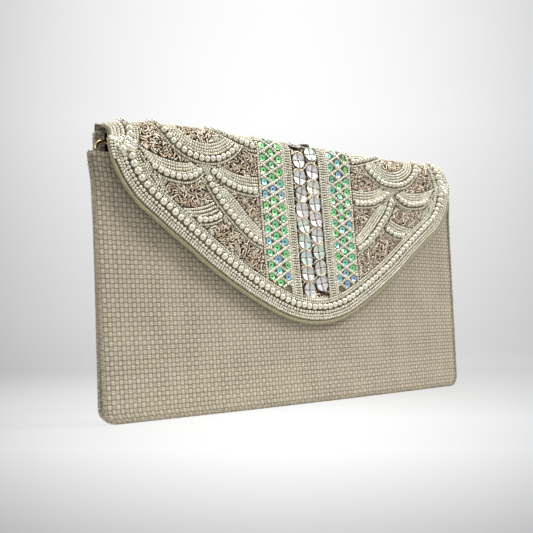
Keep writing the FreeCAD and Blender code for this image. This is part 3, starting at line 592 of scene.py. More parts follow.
def overcast(name, line, outward, body):
    """The overcast edge: a soft roll with slanted slubby stitches wound round it."""
    radius = 0.95
    n = np.array([0.0, outward, 0.0])
    heap = Heap()
    points, faces, uv = tube(line, n, radius * 0.86, 8,
                             lambda run: 1 + 0.05 * np.sin(run * 1.9) + 0.04 * np.sin(run * 0.73 + 1))
    heap.add(points, faces, uv * [0.5, 0.8])
    forward = unit(np.gradient(line, axis=0))
    total = int(len(line) * 0.8 / 1.3)
    for k in range(total):
        at = (k + 0.5 + RNG.uniform(-0.15, 0.15)) / total * (len(line) - 1)
        i = int(at)
        here = line[i] + (line[min(i + 1, len(line) - 1)] - line[i]) * (at - i)
        t = forward[i]
        b = np.cross(t, n)
        lean = RNG.uniform(0.5, 0.8)
        out = np.array([radius * (b * math.cos(a) + n * math.sin(a) * 1.02)
                        + t * lean * (a / math.pi - 0.5) * 1.5
                        for a in np.linspace(-0.7, math.pi + 0.7, 9)])
        points, faces, uv = tube(here + out, out, 0.30 + RNG.uniform(-0.05, 0.06), 5)
        heap.add(points, faces, uv * 1.4 + RNG.uniform(0, 50))
    made = heap.make(name, LINEN)
    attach(made, body)
    return made


def stamp_heap(name, shape, depth, places, material, slot, body):
    """One piece of many copies of a shape; places are (origin, 3 axes as rows, scale of 3, tone)."""
    base, faces = shape
    heap = Heap()
    for origin, axes, scale, tone in places:
        heap.add(origin + (base * scale) @ np.array(axes), faces, tone=tone, depth=depth)
    made = heap.make(name, material)
    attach(made, body)
    return made


def thread_line(line, normal, heap):
    """A running seam: short plump stitches lying on the cloth."""
    step, stitch, period = 0.35, 1.6, 2.5
    points = even(line, pitch=step)
    for k in range(int((len(points) - 1) * step / period)):
        part = points[int(k * period / step):int((k * period + stitch) / step) + 1]
        if len(part) < 3:
            continue
        bow = np.sin(np.linspace(0, math.pi, len(part)))[:, None] * 0.15
        made, faces, uv = tube(part + normal * bow, normal, 0.16, 5)
        heap.add(made, faces, uv * 2 + k)


# front panel, turned over the hem at the mouth
def half_flat(z):
    """Half width of the front panel, which flares a little at the mouth."""
    return HALF_WIDTH + 1.1 * soft_step((np.asarray(z, float) - 118) / 16)


front_rows = np.arange(0.75, MOUTH_Z - 0.6, WEFT_PITCH)
hem_turn = [(0.12, MOUTH_Z + 0.1), (0.50, MOUTH_Z + 0.75), (1.15, MOUTH_Z + 1.05),
            (1.85, MOUTH_Z + 0.8), (2.25, MOUTH_Z + 0.1), (2.3, MOUTH_Z - 1.5),
            (2.2, MOUTH_Z - 4.0), (2.1, MOUTH_Z - 7.0)]
low_turn = [(0.35, 0.35), (1.1, 0.12), (1.9, 0.1)]
front_panel = woven_panel("front_panel", front_rows, front_y, half_flat, -1, hem_turn, low_turn)
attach(front_panel, "front")
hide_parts("front_cover", "front_board", "front_mouth_hem")
front_edge = overcast("front_edge_stitching", rim_line(
    lambda x, z: front_y(x, z) + 0.25, half_flat, 0.95, MOUTH_Z - 0.5), -1, "front")

# back panel, up to the crease
back_rows = np.arange(0.75, 149.6, WEFT_PITCH)
back_panel = woven_panel("back_panel", back_rows, back_y, back_half, 1, [(0.35, 149.6)], low_turn)
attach(back_panel, "back")
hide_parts("back_cover", "back_board")
back_edge = overcast("back_edge_stitching", rim_line(
    lambda x, z: back_y(x, z) - 0.25, back_half, 0.95, 148.5), 1, "back")


def cloth_patch(name, grid, material, scale, thickness, shift=(0, 0)):
    """A thin two-sided cloth with a rim. scale is a thread's size, shift moves the weave in threads."""
    across = np.cumsum(np.linalg.norm(np.diff(grid, axis=1, prepend=grid[:, :1]), axis=2), axis=1)
    down = np.cumsum(np.linalg.norm(np.diff(grid, axis=0, prepend=grid[:1]), axis=2), axis=0)
    uv = np.stack([across / scale[0] + shift[0], down / scale[1] + shift[1]], axis=2).reshape(-1, 2)
    points, faces = shell(grid, grid_normals(grid), thickness, False, True)
    return piece(name, points, faces, material, np.concatenate([uv, uv]))


THREADS = (WARP_PITCH, WEFT_PITCH)
FINE_THREADS = (0.8, 0.8)

# base strip between the two panels
BASE_HALF = 122.6
xs = np.linspace(-BASE_HALF, BASE_HALF, 120)
base_grid = np.array([[(x, -(FRONT_Y - 1.4 + 4.7 * (1 - (x / HALF_WIDTH) ** 2)) * (1 - 2 * k),
                        0.45 + 0.12 * math.sin(x * 0.3) * (1 - abs(1 - 2 * k))) for x in xs]
                      for k in np.linspace(0, 1, 12)])
base_cloth = cloth_patch("base_cloth", base_grid[::-1], LINEN, THREADS, 0.4)
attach(base_cloth, "back")
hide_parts("base_strip")

# gussets: V-folded side panels
for side, label in ((-1, "left"), (1, "right")):
    rows = []
    for z in np.linspace(0.9, 139.6, 64):
        row = []
        rounded = HALF_WIDTH * (1 - corner_share(z, HALF_WIDTH))
        front_x, back_x = HALF_WIDTH - 1.2 - rounded, back_half(z) - 1.0 - rounded
        fold_x = front_x - 6.4 * soft_step((z + 3) / 17) + 0.5 * math.sin(z * 0.07)
        for k in np.linspace(-1, 1, 21):
            end_x = front_x if k < 0 else back_x
            y_end = -FRONT_Y + 0.8 if k < 0 else FRONT_Y + (z - 0.95) / 149.0 - 0.8
            x = fold_x + (end_x - fold_x) * abs(k) ** 1.25
            lift = 1.225 * (1 - abs(k)) + 1.05 * max(0.0, k) - 2.6 * max(0.0, -k)
            row.append((side * x, y_end * abs(k) ** 0.85, z + lift * max(0.0, (z - 120) / 19.6)))
        rows.append(row)
    grid = np.array(rows)[:, ::side]
    gusset = cloth_patch(label + "_gusset_cloth", grid, LINEN, THREADS, 0.45, (3, 7))
    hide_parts(label + "_gusset")
    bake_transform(gusset)


# linings and the slip pocket
def lining_grid(y_at, half_at, gap, top, margin):
    """A lining's points: gap in from the panel's face, and margin short of its sides."""
    out = []
    for z in np.linspace(2.0, top, 44):
        x = np.linspace(-1, 1, 60) * (half_at(z) * corner_share(z, half_at(z)) - margin)
        out.append(np.stack([x, y_at(x, z) + gap + 0.08 * np.sin(x * 0.23 + z * 0.11),
                             np.full(60, z)], axis=1))
    return np.array(out)


front_lining = cloth_patch("front_lining_cloth", lining_grid(
    front_y, half_flat, 2.15, MOUTH_Z - 3.0, 1.6)[:, ::-1], LINING, FINE_THREADS, 0.25)
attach(front_lining, "front")
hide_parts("front_lining")
back_lining = cloth_patch("back_lining_cloth", lining_grid(
    back_y, back_half, -2.3, 148.6, 4.6), LINING, FINE_THREADS, 0.25)
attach(back_lining, "back")
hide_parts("back_lining")

pocket_low, pocket_high = box_mm("inner_slip_pocket")
rows = []
for z in np.linspace(pocket_low[2], pocket_high[2], 26):
    x = np.linspace(pocket_low[0], pocket_high[0], 40)
    loose = 0.5 * ((z - pocket_low[2]) / (pocket_high[2] - pocket_low[2])) ** 2
    y = back_y(x, np.full(40, z)) - 3.0 - loose * np.cos(x / pocket_high[0] * math.pi / 2)
    rows.append(np.stack([x, y, np.full(40, z)], axis=1))
pocket = cloth_patch("slip_pocket_cloth", np.array(rows), LINING, FINE_THREADS, 0.3)
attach(pocket, "back")
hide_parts("inner_slip_pocket")
heap = Heap()
thread_line(rows[-2] + [0, -0.35, -1.2], np.array([0.0, -1.0, 0.0]), heap)
pocket_seam = heap.make("pocket_stitching", CORD_WHITE)
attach(pocket_seam, "back")

# ---------------------------------------------------------------- the flap's surface
FOLD_T = 26.0
TOP_Z = 164.0
SHOULDER = np.array([76.0, 142.7])
SHOULDER_R = 46.0


def arc_points(centre, radius, start, end):
    count = max(3, int(abs(end - start) * radius / 0.8))
    return [(centre[0] + radius * math.sin(a), centre[1] - radius * math.cos(a))
            for a in np.linspace(start, end, count)]


outline = arc_points((0, TIP_Z + 66), 66, 0, math.radians(27))
flank_centre = np.array(outline[-1]) + 258 * np.array([-math.sin(math.radians(27)),
                                                       math.cos(math.radians(27))])
outline += arc_points(flank_centre, 258, math.radians(27), math.radians(40.5))[1:]
outline += arc_points(SHOULDER, SHOULDER_R, math.radians(40.5), math.pi / 2)
OUTLINE = even(np.array([(x, TOP_Z - z) for x, z in outline]
                        + [(FLAP_HALF, TOP_Z - z) for z in (144, 152, 164, 170)]), pitch=0.5)
GRID = 0.5
GRID_X, GRID_T = np.arange(0, 125, GRID), np.arange(-4, 121, GRID)
INSET = np.array([np.min(np.hypot(GRID_X[:, None] - OUTLINE[None, :, 0], t - OUTLINE[None, :, 1]), axis=1)
                  for t in GRID_T])


def inset_of(x, t):
    """How far a point of the flap lies inside its outline, read between the points of a fine grid."""
    x, t = np.broadcast_arrays(np.abs(np.asarray(x, float)), np.asarray(t, float))
    a = np.clip(x / GRID, 0, len(GRID_X) - 1.001)
    b = np.clip((t - GRID_T[0]) / GRID, 0, len(GRID_T) - 1.001)
    i, j = a.astype(int), b.astype(int)
    a, b = a - i, b - j
    return ((INSET[j, i] * (1 - a) + INSET[j, i + 1] * a) * (1 - b)
            + (INSET[j + 1, i] * (1 - a) + INSET[j + 1, i + 1] * a) * b)


CENTRE_FOLD = spline([(5.1, 153.1), (3.2, 155.2), (0.2, 156.4), (-3.4, 155.3), (-6.0, 151.8),
                      (-7.0, 146.5), (-7.2, 142.0), (-7.2, 138.0)], 60)
RIGHT_FOLD = spline([(4.7, 152.6), (2.6, 156.2), (-1.3, 157.8), (-5.6, 156.2), (-9.2, 151.4),
                     (-10.9, 145.4), (-11.3, 141.0), (-11.4, 138.0)], 60)
SIDE_FOLD = spline([(4.5, 152.0), (1.8, 151.4), (-1.6, 149.6), (-5.4, 146.6), (-8.6, 142.9), (-11.0, 139.8),
                    (-11.4, 138.0)], 60)


def flap_at(x, t):
    """Points of the flap's fabric face for arrays of x and t, where t runs down from the crease."""
    x, t = np.broadcast_arrays(np.asarray(x, float), np.asarray(t, float))
    rise = 4.3 * (1 - np.exp(-inset_of(x, np.maximum(t, 21.0)) / 42))
    front = -11.4 + rise
    share = np.clip(t / FOLD_T, -0.06, 1)
    knots = np.linspace(0, 1, 60)
    w = np.where(x < 0, np.clip(-x / FLAP_HALF, 0, 1) ** 6, np.clip(x / FLAP_HALF, 0, 1) ** 2)

    def fold(axis):
        centre = np.interp(share, knots, CENTRE_FOLD[:, axis])
        side = np.where(x < 0, np.interp(share, knots, SIDE_FOLD[:, axis]),
                        np.interp(share, knots, RIGHT_FOLD[:, axis]))
        return centre * (1 - w) + side * w

    start = CENTRE_FOLD[0, 0] * (1 - w) + np.where(x < 0, SIDE_FOLD[0, 0], RIGHT_FOLD[0, 0]) * w
    end = CENTRE_FOLD[-1, 0] * (1 - w) + SIDE_FOLD[-1, 0] * w
    y = np.where(t < FOLD_T, start + (fold(0) - start) * (front - start) / (end - start), front)
    z = np.where(t < FOLD_T, fold(1), TOP_Z - t)
    waist = 1 - 0.008 * np.exp(-((t - 12) / 6) ** 2)
    shoulder = soft_step((66 - t) / 22) * soft_step((np.abs(x) - 55) / 40) * soft_step((t - 3) / 16)
    slant = (-1.2 + 2.2 * (t - 15) / 82) * np.exp(-(x / 42) ** 2) * soft_step(t / 12)
    puff = 0.12 * np.sin(x * 0.21 + 1) * np.sin(t * 0.17)
    return np.stack([x * waist + shoulder + slant, y - puff, z], axis=-1)


def flap_frames(x, t):
    """Points, outward normals and directions across, of the flap's face."""
    x, t = np.asarray(x, float), np.asarray(t, float)
    h = 0.35
    across = unit(flap_at(x + h, t) - flap_at(x - h, t))
    down = flap_at(x, t + h) - flap_at(x, t - h)
    return flap_at(x, t), unit(np.cross(across, -down)), across


def edge_t(x):
    """t of the flap's lower edge at x."""
    keep = OUTLINE[:, 0] < FLAP_HALF - 0.02
    return np.interp(np.abs(x), OUTLINE[keep, 0], OUTLINE[keep, 1])


COLUMNS = np.concatenate([[-FLAP_HALF], -FLAP_HALF + 0.35 * (np.arange(1, 9) ** 1.35),
                          np.linspace(-115, 115, 139),
                          FLAP_HALF - 0.35 * (np.arange(8, 0, -1) ** 1.35), [FLAP_HALF]])
COLUMNS = np.unique(np.round(COLUMNS, 3))


def flap_sheet(lift):
    """A grid of points over the flap, lifted off its face."""
    bottom = np.where(np.abs(COLUMNS) > FLAP_HALF - 0.05, TOP_Z - SHOULDER[1], edge_t(COLUMNS))
    t = 0.2 + (bottom - 0.2) * np.linspace(0, 1, 84)[:, None]
    here, normal, _ = flap_frames(np.broadcast_to(COLUMNS, t.shape), t)
    return (here + normal * lift)[:, ::-1]


flap_ground = cloth_patch("flap_ground_cloth", flap_sheet(0.0), GROUND, THREADS, 0.55)
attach(flap_ground, "flap")
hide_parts("flap_base", "flap_board")
flap_lining = cloth_patch("flap_lining_cloth", flap_sheet(-1.0), LINING, FINE_THREADS, 0.45)
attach(flap_lining, "flap")
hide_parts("flap_lining")


# ---------------------------------------------------------------- lines of beads
def inset_line(inset, t_top=0.8):
    """The line a distance inside the outline, from the left crease round the tip to the right."""
    forward = unit(np.gradient(OUTLINE, axis=0))
    inner = OUTLINE + forward[:, ::-1] * [inset, -inset]
    inner = inner[(inner[:, 1] >= t_top) & (inner[:, 0] >= 0)]
    inner[0, 0] = 0
    return np.concatenate([inner[::-1] * [-1, 1], inner[1:]])


# every bead laid on the right half, as (x, t, size)
PLACED = []


def strand(line, pitch, lift, size, out, jitter=0.03, tones=(0.2, 1.0), along=1.0):
    """Places beads along a line of (x, t). Each lies with its hole along the line."""
    rough = even(line, pitch=0.5)
    run = lengths(flap_at(*rough.T))
    count = max(1, int(round(run[-1] / pitch)))
    at = (np.arange(count) + 0.5) * run[-1] / count + RNG.normal(0, jitter * pitch, count)

    def on_line(at):
        return [np.interp(at, run, values) for values in rough.T]

    x, t = on_line(at)
    here, normal, _ = flap_frames(x, t)
    forward = unit(flap_at(*on_line(at + 0.4)) - flap_at(*on_line(at - 0.4)))
    side = unit(np.cross(normal, forward))
    up = np.cross(forward, side)
    PLACED.extend((x[k], t[k], size) for k in range(count) if x[k] > 0)
    for k in range(count):
        grow = size * (1 + RNG.normal(0, 0.035))
        wobble = side[k] * RNG.normal(0, 0.03) * size
        hole = unit(forward[k] + side[k] * RNG.normal(0, 0.05))
        out.append((here[k] + up[k] * lift + wobble, (np.cross(up[k], hole), up[k], hole),
                    (grow, grow, grow * along), RNG.uniform(*tones)))


# shapes of a seed bead and a pearl, each with the share of light at its points
SEEDS = (lathe([(0.17, -0.36), (0.36, -0.43), (0.49, -0.25), (0.52, 0.0), (0.49, 0.25), (0.36, 0.43),
                (0.17, 0.36)], 8), np.repeat([0.0, 0.55, 1, 1, 1, 0.55, 0.0], 8))
PEARLS = (lathe([(0.06, -0.48), (0.19, -0.465), (0.35, -0.36), (0.46, -0.19), (0.5, 0.0), (0.46, 0.19),
                 (0.35, 0.36), (0.19, 0.465), (0.06, 0.48)], 16),
          np.repeat([0.0, 0.5, 1, 1, 1, 1, 1, 0.5, 0.0], 16))

# border rows as (inset, pitch, size), from the edge inward
BORDER_SEEDS = ((3.35, 1.45, 1.62), (5.05, 1.45, 1.62), (12.95, 1.4, 1.5), (14.45, 1.4, 1.5))
BORDER_PEARLS = ((7.05, 2.15, 2.1), (10.25, 3.85, 3.8))
BORDER = 15.2
seeds = []
for inset, pitch, size in BORDER_SEEDS:
    strand(inset_line(inset), pitch, size * 0.48, size, seeds, along=0.9)
shoulder_line = inset_line(1.75)
for side in (-1, 1):
    part = shoulder_line[(shoulder_line[:, 1] < 34) & (shoulder_line[:, 0] * side > 0)]
    strand(part, 1.45, 0.75, 1.5, seeds)
border_seeds = stamp_heap("border_seed_beads", *SEEDS, seeds, SEED, "seed_bead", "flap")
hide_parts("border_seed_rows")
pearls = []
for inset, pitch, size in BORDER_PEARLS:
    strand(inset_line(inset), pitch, size * 0.47, size, pearls, jitter=0.02, tones=(0.3, 1.0))
border_pearls = stamp_heap("border_pearl_beads", *PEARLS, pearls, PEARL, "pearl", "flap")
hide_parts("border_pearls")

line = inset_line(1.1, 0.3)
here, normal, _ = flap_frames(line[:, 0], line[:, 1])
swell = 0.6 + 0.4 * soft_step((line[:, 1] - 14) / 26)
points, faces, uv = tube(here - normal * 0.35, normal, 1.2, 12,
                         lambda run: swell * (1 + 0.04 * np.sin(run * 1.7) + 0.03 * np.sin(run * 0.6)), 0.75)
heap = Heap()
heap.add(points, faces, uv)
piping = heap.make("flap_piping_cord", PIPING)
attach(piping, "flap")
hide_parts("flap_piping")

# ---------------------------------------------------------------- fish-scale motifs
A_CENTRE = np.array([68.2, -2.4])


def ring(radius, start, end):
    """An arc about the middle of the round scale at the crease, angles in degrees."""
    a = np.radians(np.linspace(start, end, 60))
    return A_CENTRE + radius * np.stack([np.cos(a), np.sin(a)], axis=1)


G_LINE = np.array([(64.5, 7.0), (60.5, 9.0), (56.5, 10.4), (52.5, 11.8), (48, 13.2), (43.5, 14.2),
                   (39.5, 15.2), (35.6, 16.0)])


def below_g(line, gap=1.6):
    """Keeps the part of a line that the inner scale at the crease doesn't cover."""
    cover = np.interp(line[:, 0], G_LINE[::-1, 0], G_LINE[::-1, 1], right=-20) + gap
    return line[line[:, 1] > cover]


def between(first, last, share):
    a, b = spline(first, 40), spline(last, 40)
    return a + (b - a) * share


def clip_line(line, inset, t_low, x_low):
    """The parts of a line inside the border and outside the lattice."""
    line = even(line, pitch=0.4)
    x, t = line.T
    good = (inset_of(x, t) > inset) & (t > t_low) & (x > x_low) & (x < FLAP_HALF - inset)
    ends = np.flatnonzero(np.diff(good.astype(int), prepend=0, append=0))
    return [line[a:b] for a, b in zip(ends[::2], ends[1::2]) if b - a > 3]


scale_seeds, scale_pearls = [], []


def seed_line(line, pitch=1.38, size=1.5):
    for part in clip_line(line, BORDER, 0.8, 34.6):
        for side in (-1, 1):
            strand(part * [side, 1], pitch, size * 0.48, size, scale_seeds)


def pearl_line(line):
    pitch, size = 3.5, 3.35
    for part in clip_line(line, BORDER + 0.7, 0.9, 35.3):
        for side in (-1, 1):
            strand(part * [side, 1], pitch, size * 0.47, size, scale_pearls, jitter=0.02, tones=(0.35, 1.0))


FINE = (1.3, 1.4)

# A: the round scale at the crease
for radius in (21.4, 22.9, 24.4, 25.9):
    seed_line(below_g(ring(radius, 0, 180)))
pearl_line(below_g(ring(28.6, 0, 180), 2.4))
seed_line(below_g(ring(31.1, 0, 180)), *FINE)
# each further scale: its inner line, the line its seed rows spread to, its pearls, its outer line, and how
# far the seed rows lie between the first two
B_PEARL = [(99.6, 33.4), (96.6, 35.2), (93.6, 36.4), (90.2, 37.4), (86.6, 37.9), (83.2, 38.1),
           (79.8, 37.8), (76.4, 36.6), (73.4, 34.8), (71.0, 32.2)]
C_PEARL = [(64.4, 31.6), (62, 33.6), (59.2, 35.6), (56.2, 37.2), (52.5, 38.8), (48.5, 40.0), (44, 40.6),
           (39.5, 40.9), (34.5, 40.8)]
D_PEARL = [(76.6, 59.9), (73.2, 60.1), (69.6, 59.8), (66.2, 58.8), (63.0, 57.4), (60.0, 55.6)]
SCALES = (
    # B: below A, outer side
    ([(106.8, 22.5), (105.0, 25.3), (101.5, 27.0), (97.0, 28.6), (91.5, 29.7), (86, 30.4), (81, 30.4),
      (76.8, 29.6)], B_PEARL, B_PEARL,
     [(98.6, 36.6), (95, 38.9), (91.0, 40.1), (86.5, 40.7), (80.0, 40.8), (75.5, 39.4), (71.8, 37.0),
      (69.2, 34.2)], (0.06, 0.27, 0.49, 0.71)),
    # C: below A, inner side
    ([(57.5, 29.6), (54.0, 30.9), (50, 32.2), (45, 33.0), (40, 33.2), (34.5, 32.6)], C_PEARL, C_PEARL,
     [(57.5, 39.6), (53.5, 41.4), (49, 42.6), (44, 43.2), (39.5, 43.4), (34.5, 43.2)],
     (0.06, 0.29, 0.52, 0.74)),
    # D: below B, against the border
    ([(83.5, 54.6), (79, 54.4), (75, 53.6), (71, 52.6), (67.6, 51.2), (64.4, 49.6)], D_PEARL, D_PEARL,
     [(74, 62.3), (70.5, 62.5), (66.8, 61.7), (63.0, 60.4), (59.6, 58.6)], (0.06, 0.33, 0.6)),
    # E: the long scale that falls to the lattice
    ([(57.4, 41.2), (54.0, 43.6), (51.2, 46.0), (48.0, 49.8), (44.6, 53.8), (40.6, 58.0), (36.6, 61.8),
      (34.5, 63.6)],
     [(62.6, 38.0), (61.4, 41.4), (58.6, 45.6), (55.6, 49.2), (52.2, 53.0), (48.4, 57.0), (44.4, 61.0),
      (40.0, 64.8), (34.5, 68.2)],
     [(67.0, 35.4), (65.6, 38.8), (64.0, 42.0), (62.0, 45.4), (59.4, 48.8), (56.6, 52.2), (53.6, 55.6),
      (50.4, 59.2), (46.8, 62.8), (43.2, 65.8), (39.4, 68.4), (35.0, 70.6)],
     [(67.8, 40.2), (66.2, 43.6), (63.8, 47.4), (61.0, 51.0), (58.0, 54.4), (54.8, 58.0), (51.2, 61.8),
      (47.6, 65.2), (43.8, 68.4), (39.6, 71.2), (34.8, 73.4)], (0.05, 0.36, 0.68, 1.0)),
)
for inner, spread_to, pearl_points, outer, shares in SCALES:
    for share in shares:
        seed_line(between(inner, spread_to, share))
    pearl_line(pearl_points)
    seed_line(outer, *FINE)
# G: the inner scale at the crease
for drop in (2.5, 4.0, 5.5, 7.0, 8.5):
    seed_line(G_LINE - [0, drop])
pearl_line(G_LINE)
seed_line(G_LINE + [0.2, 2.4], *FINE)

# ---------------------------------------------------------------- bullion patches
PATCHES = (
    [*ring(20.6, 0, 110)] + [(63, 10.6), (66, 8.2), (70, 6.0), (74, 0.9), (88, 0.9)],
    [(108.5, 0.6), (108.6, 14), (107.5, 21.0), (105.0, 24.5), (101.2, 26.2), (96.8, 27.8), (91.3, 28.9),
     (86, 29.6), (81, 29.6), (77.5, 29.2)] + [*ring(32.0, 73, 6)],
    [(34.6, 19.4), (39.5, 18.6), (43.6, 17.6), (44.0, 18.0)] + [*ring(32.0, 142, 110)]
    + [(54, 30.1), (50, 31.4), (45, 32.2), (40, 32.4), (34.6, 31.8)],
    [(97, 38.6), (91.4, 41.0), (86.5, 41.6), (80, 41.7), (75.2, 40.4), (71.0, 37.6), (69.0, 41.6),
     (66.4, 45.6), (64.2, 48.8), (67.6, 50.4), (71, 51.8), (75, 52.8), (79, 53.6), (86, 53.8)],
    [(53.5, 43.0), (49.5, 43.6), (44, 44.1), (39.5, 44.3), (34.6, 44.1), (34.6, 62.5), (36.4, 60.8),
     (40.4, 57.0), (44.2, 52.9), (47.6, 48.9), (50.8, 45.1)],
    [(76, 63.0), (70.5, 63.4), (66.6, 62.6), (62.8, 61.3), (59.0, 59.6), (55.4, 58.6), (51.8, 62.5),
     (48.2, 65.9), (44.2, 69.2), (39.9, 72.1), (34.6, 74.4), (34.6, 96), (60, 84), (80, 70)],
)


def inside(polygon, x, t):
    """Whether a point lies in a polygon, by counting the edges it has on one side."""
    result = np.zeros(np.shape(x), bool)
    for (xi, ti), (xj, tj) in zip(polygon, [*polygon[-1:], *polygon[:-1]]):
        result ^= ((ti > t) != (tj > t)) & (x < (xj - xi) * (t - ti) / (tj - ti + 1e-12) + xi)
    return result


def in_patch(x, t, margin):
    """Whether a point lies in a bullion patch, drawn in by margin from the border."""
    good = np.any([inside(polygon, x, t) for polygon in PATCHES], axis=0)
    return good & (inset_of(x, t) > BORDER + 0.1 + margin) & (t > 0.8)


# seed beads over whatever ground the lines of beads and the bullion leave bare
near = KDTree(len(PLACED))
for k, (x, t, size) in enumerate(PLACED):
    near.insert((x, t, 0), k)
near.balance()
for row, t in enumerate(np.arange(1.3, 101, 1.2)):
    for x in np.arange(34.9 + 0.68 * (row % 2), 109, 1.36):
        if t > edge_t(x) - BORDER or inset_of(x, t) < BORDER or in_patch(x, t, -0.5):
            continue
        if all(far > PLACED[k][2] / 2 + 0.5 for _, k, far in near.find_n((x, t, 0), 6)):
            for side in (-1, 1):
                here, normal, across = (a[0] for a in flap_frames([x * side], [t]))
                turned = np.cross(normal, across)
                scale_seeds.append((here + normal * 0.66, (turned, normal, across), (1.36, 1.36, 1.25),
                                    RNG.uniform(0.1, 0.9)))
scale_seed_beads = stamp_heap("scale_seed_beads", *SEEDS, scale_seeds, SEED, "seed_bead", "flap")
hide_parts("scale_seed_rows")
scale_pearl_beads = stamp_heap("scale_pearl_beads", *PEARLS, scale_pearls, PEARL, "pearl", "flap")
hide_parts("scale_pearls")

wire_heap = Heap()
CELL = 0.22
WIRE_GAP = 0.62


def lay_wires(polygon, side):
    """Couched bullion: meandering pieces of wire laid one by one beside those already there."""
    low, high = np.min(polygon, axis=0) - 1, np.max(polygon, axis=0) + 1
    shape = tuple(np.ceil((high - low) / CELL).astype(int) + 1)
    gx, gt = np.meshgrid(low[0] + np.arange(shape[0]) * CELL, low[1] + np.arange(shape[1]) * CELL,
                         indexing="ij")
    free = inside(polygon, gx, gt) & in_patch(gx, gt, 0.15)
    open_cells = np.argwhere(free)
    if not len(open_cells):
        return
    reach = range(-int(WIRE_GAP / CELL) - 1, int(WIRE_GAP / CELL) + 2)
    disc = [(i, j) for i in reach for j in reach if math.hypot(i, j) * CELL <= WIRE_GAP]
    flow = random.uniform(0, math.pi)

    def cell(x, t):
        return int(round((x - low[0]) / CELL)), int(round((t - low[1]) / CELL))

    def on_grid(i, j):
        return 0 <= i < shape[0] and 0 <= j < shape[1]

    for _ in range(int(len(open_cells) * CELL * CELL * 2.6)):
        i, j = open_cells[random.randrange(len(open_cells))]
        if not free[i, j]:
            continue
        x0, t0 = low + np.array([i, j]) * CELL
        heading = flow + 1.4 * math.sin(x0 * 0.30) + 1.1 * math.sin(t0 * 0.37) + random.gauss(0, 0.45)
        ends = []
        for way in (0, math.pi):
            x, t, angle, bend = x0, t0, heading + way, random.gauss(0, 0.35)
            run = []
            for _ in range(random.randint(4, 13)):
                bend = bend * 0.75 + random.gauss(0, 0.33)
                angle += bend * 0.55
                x, t = x + 0.42 * math.cos(angle), t + 0.42 * math.sin(angle)
                if not on_grid(*cell(x, t)) or not free[cell(x, t)]:
                    break
                run.append((x, t))
            ends.append(run)
        run = ends[0][::-1] + [(x0, t0)] + ends[1]
        if len(run) < 4:
            continue
        for i, j in (cell(x, t) for x, t in run):
            for di, dj in disc:
                if on_grid(i + di, j + dj):
                    free[i + di, j + dj] = False
        run = even(run, count=len(run))
        here, normal, _ = flap_frames(run[:, 0] * side, run[:, 1])
        arch = np.sin(np.linspace(0.25, math.pi - 0.25, len(run)))
        level = random.uniform(0.28, 0.62)
        points, faces, uv = tube(here + normal * (level + 0.34 * arch)[:, None], normal, 0.48, 6)
        # painted shade: wire ends and lower-lying wires get less light
        depth = np.repeat(0.45 + 0.55 * arch, 6) * (0.75 + 0.4 * level)
        wire_heap.add(points, faces, uv, random.random(), np.clip(depth, 0, 1))


for side in (-1, 1):
    for polygon in PATCHES:
        lay_wires(polygon, side)
bullion = wire_heap.make("bullion_wires", WIRE)
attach(bullion, "flap")
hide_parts("bullion_fill")

# near-black sheet under the bullion: painted shade in the gaps between the wires
gx, gt = np.meshgrid(np.linspace(34.6, 108.6, 75), np.linspace(0.9, 97, 97))
cells = in_patch(gx, gt, -0.2)
keep = cells[:-1, :-1] & cells[1:, :-1] & cells[:-1, 1:] & cells[1:, 1:]
across = gx.shape[1]
corners = [r * across + c for r, c in zip(*np.nonzero(keep))]
quads = np.array([[a, a + 1, a + across + 1, a + across] for a in corners])
used, quads = np.unique(quads, return_inverse=True)
quads = quads.reshape(-1, 4)
ground_heap = Heap()
for side in (-1, 1):
    here, normal, _ = flap_frames(gx * side, gt)
    points = (here + normal * 0.12).reshape(-1, 3)[used]
    ground_heap.add(points, (quads[:, ::-1] if side > 0 else quads).tolist())
gap_shade_sheet = ground_heap.make("bullion_gap_shade_sheet", BROWN.mat)
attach(gap_shade_sheet, "flap")

# ---------------------------------------------------------------- centre: sequins, loops, dividers, lattice
large = []
SEQUIN_X = 4.75
SEQUIN_R = 4.35
SEQUIN_T = {-1: [96.8 - 9.65 * k for k in range(10)], 1: [92.9 - 9.75 * k for k in range(10)]}


def sequin_shape(petal, hole):
    """A cupped disc with a hole, thin walls and four shallow grooves, with its share of light."""
    sides = 32
    top, depth = [], []
    radii = (hole, hole + 0.08, 0.5, 0.74, 0.92, 1.0)
    for r in radii:
        for k in range(sides):
            a = 2 * math.pi * k / sides
            groove = petal * math.exp(-(((a / (math.pi / 2) + 0.5) % 1 - 0.5) / 0.10) ** 2)
            dip = 0.11 * (1 - r * r) + groove * 0.10 * (1 - r * 0.4)
            top.append((r * math.cos(a), r * math.sin(a), 0.06 - dip))
            depth.append(0.0 if r == hole else 1 - 0.75 * groove)
    n = len(top)
    last = n - sides
    faces = grid_faces(len(radii), sides, closed=True)
    faces += grid_faces(len(radii), sides, closed=True, start=n, flip=True)
    for k in range(sides):
        d = (k + 1) % sides
        faces.append([n + last + k, n + last + d, last + d, last + k])
        faces.append([k, d, n + d, n + k])
    return (np.concatenate([top, np.array(top) - [0, 0, 0.06]]), faces), np.array(depth + depth)


def lay_flat(x, t, lift, size, tone, tilt, spin):
    """A disc lying on the flap at (x, t), a little tilted and turned."""
    here, normal, across = (a[0] for a in flap_frames([x], [t]))
    normal = unit(normal + RNG.normal(0, tilt, 3))
    across = unit(across - normal * (across @ normal))
    turned = across * math.cos(spin) + np.cross(normal, across) * math.sin(spin)
    return here + normal * lift, (turned, np.cross(normal, turned), normal), (size, size, size), tone


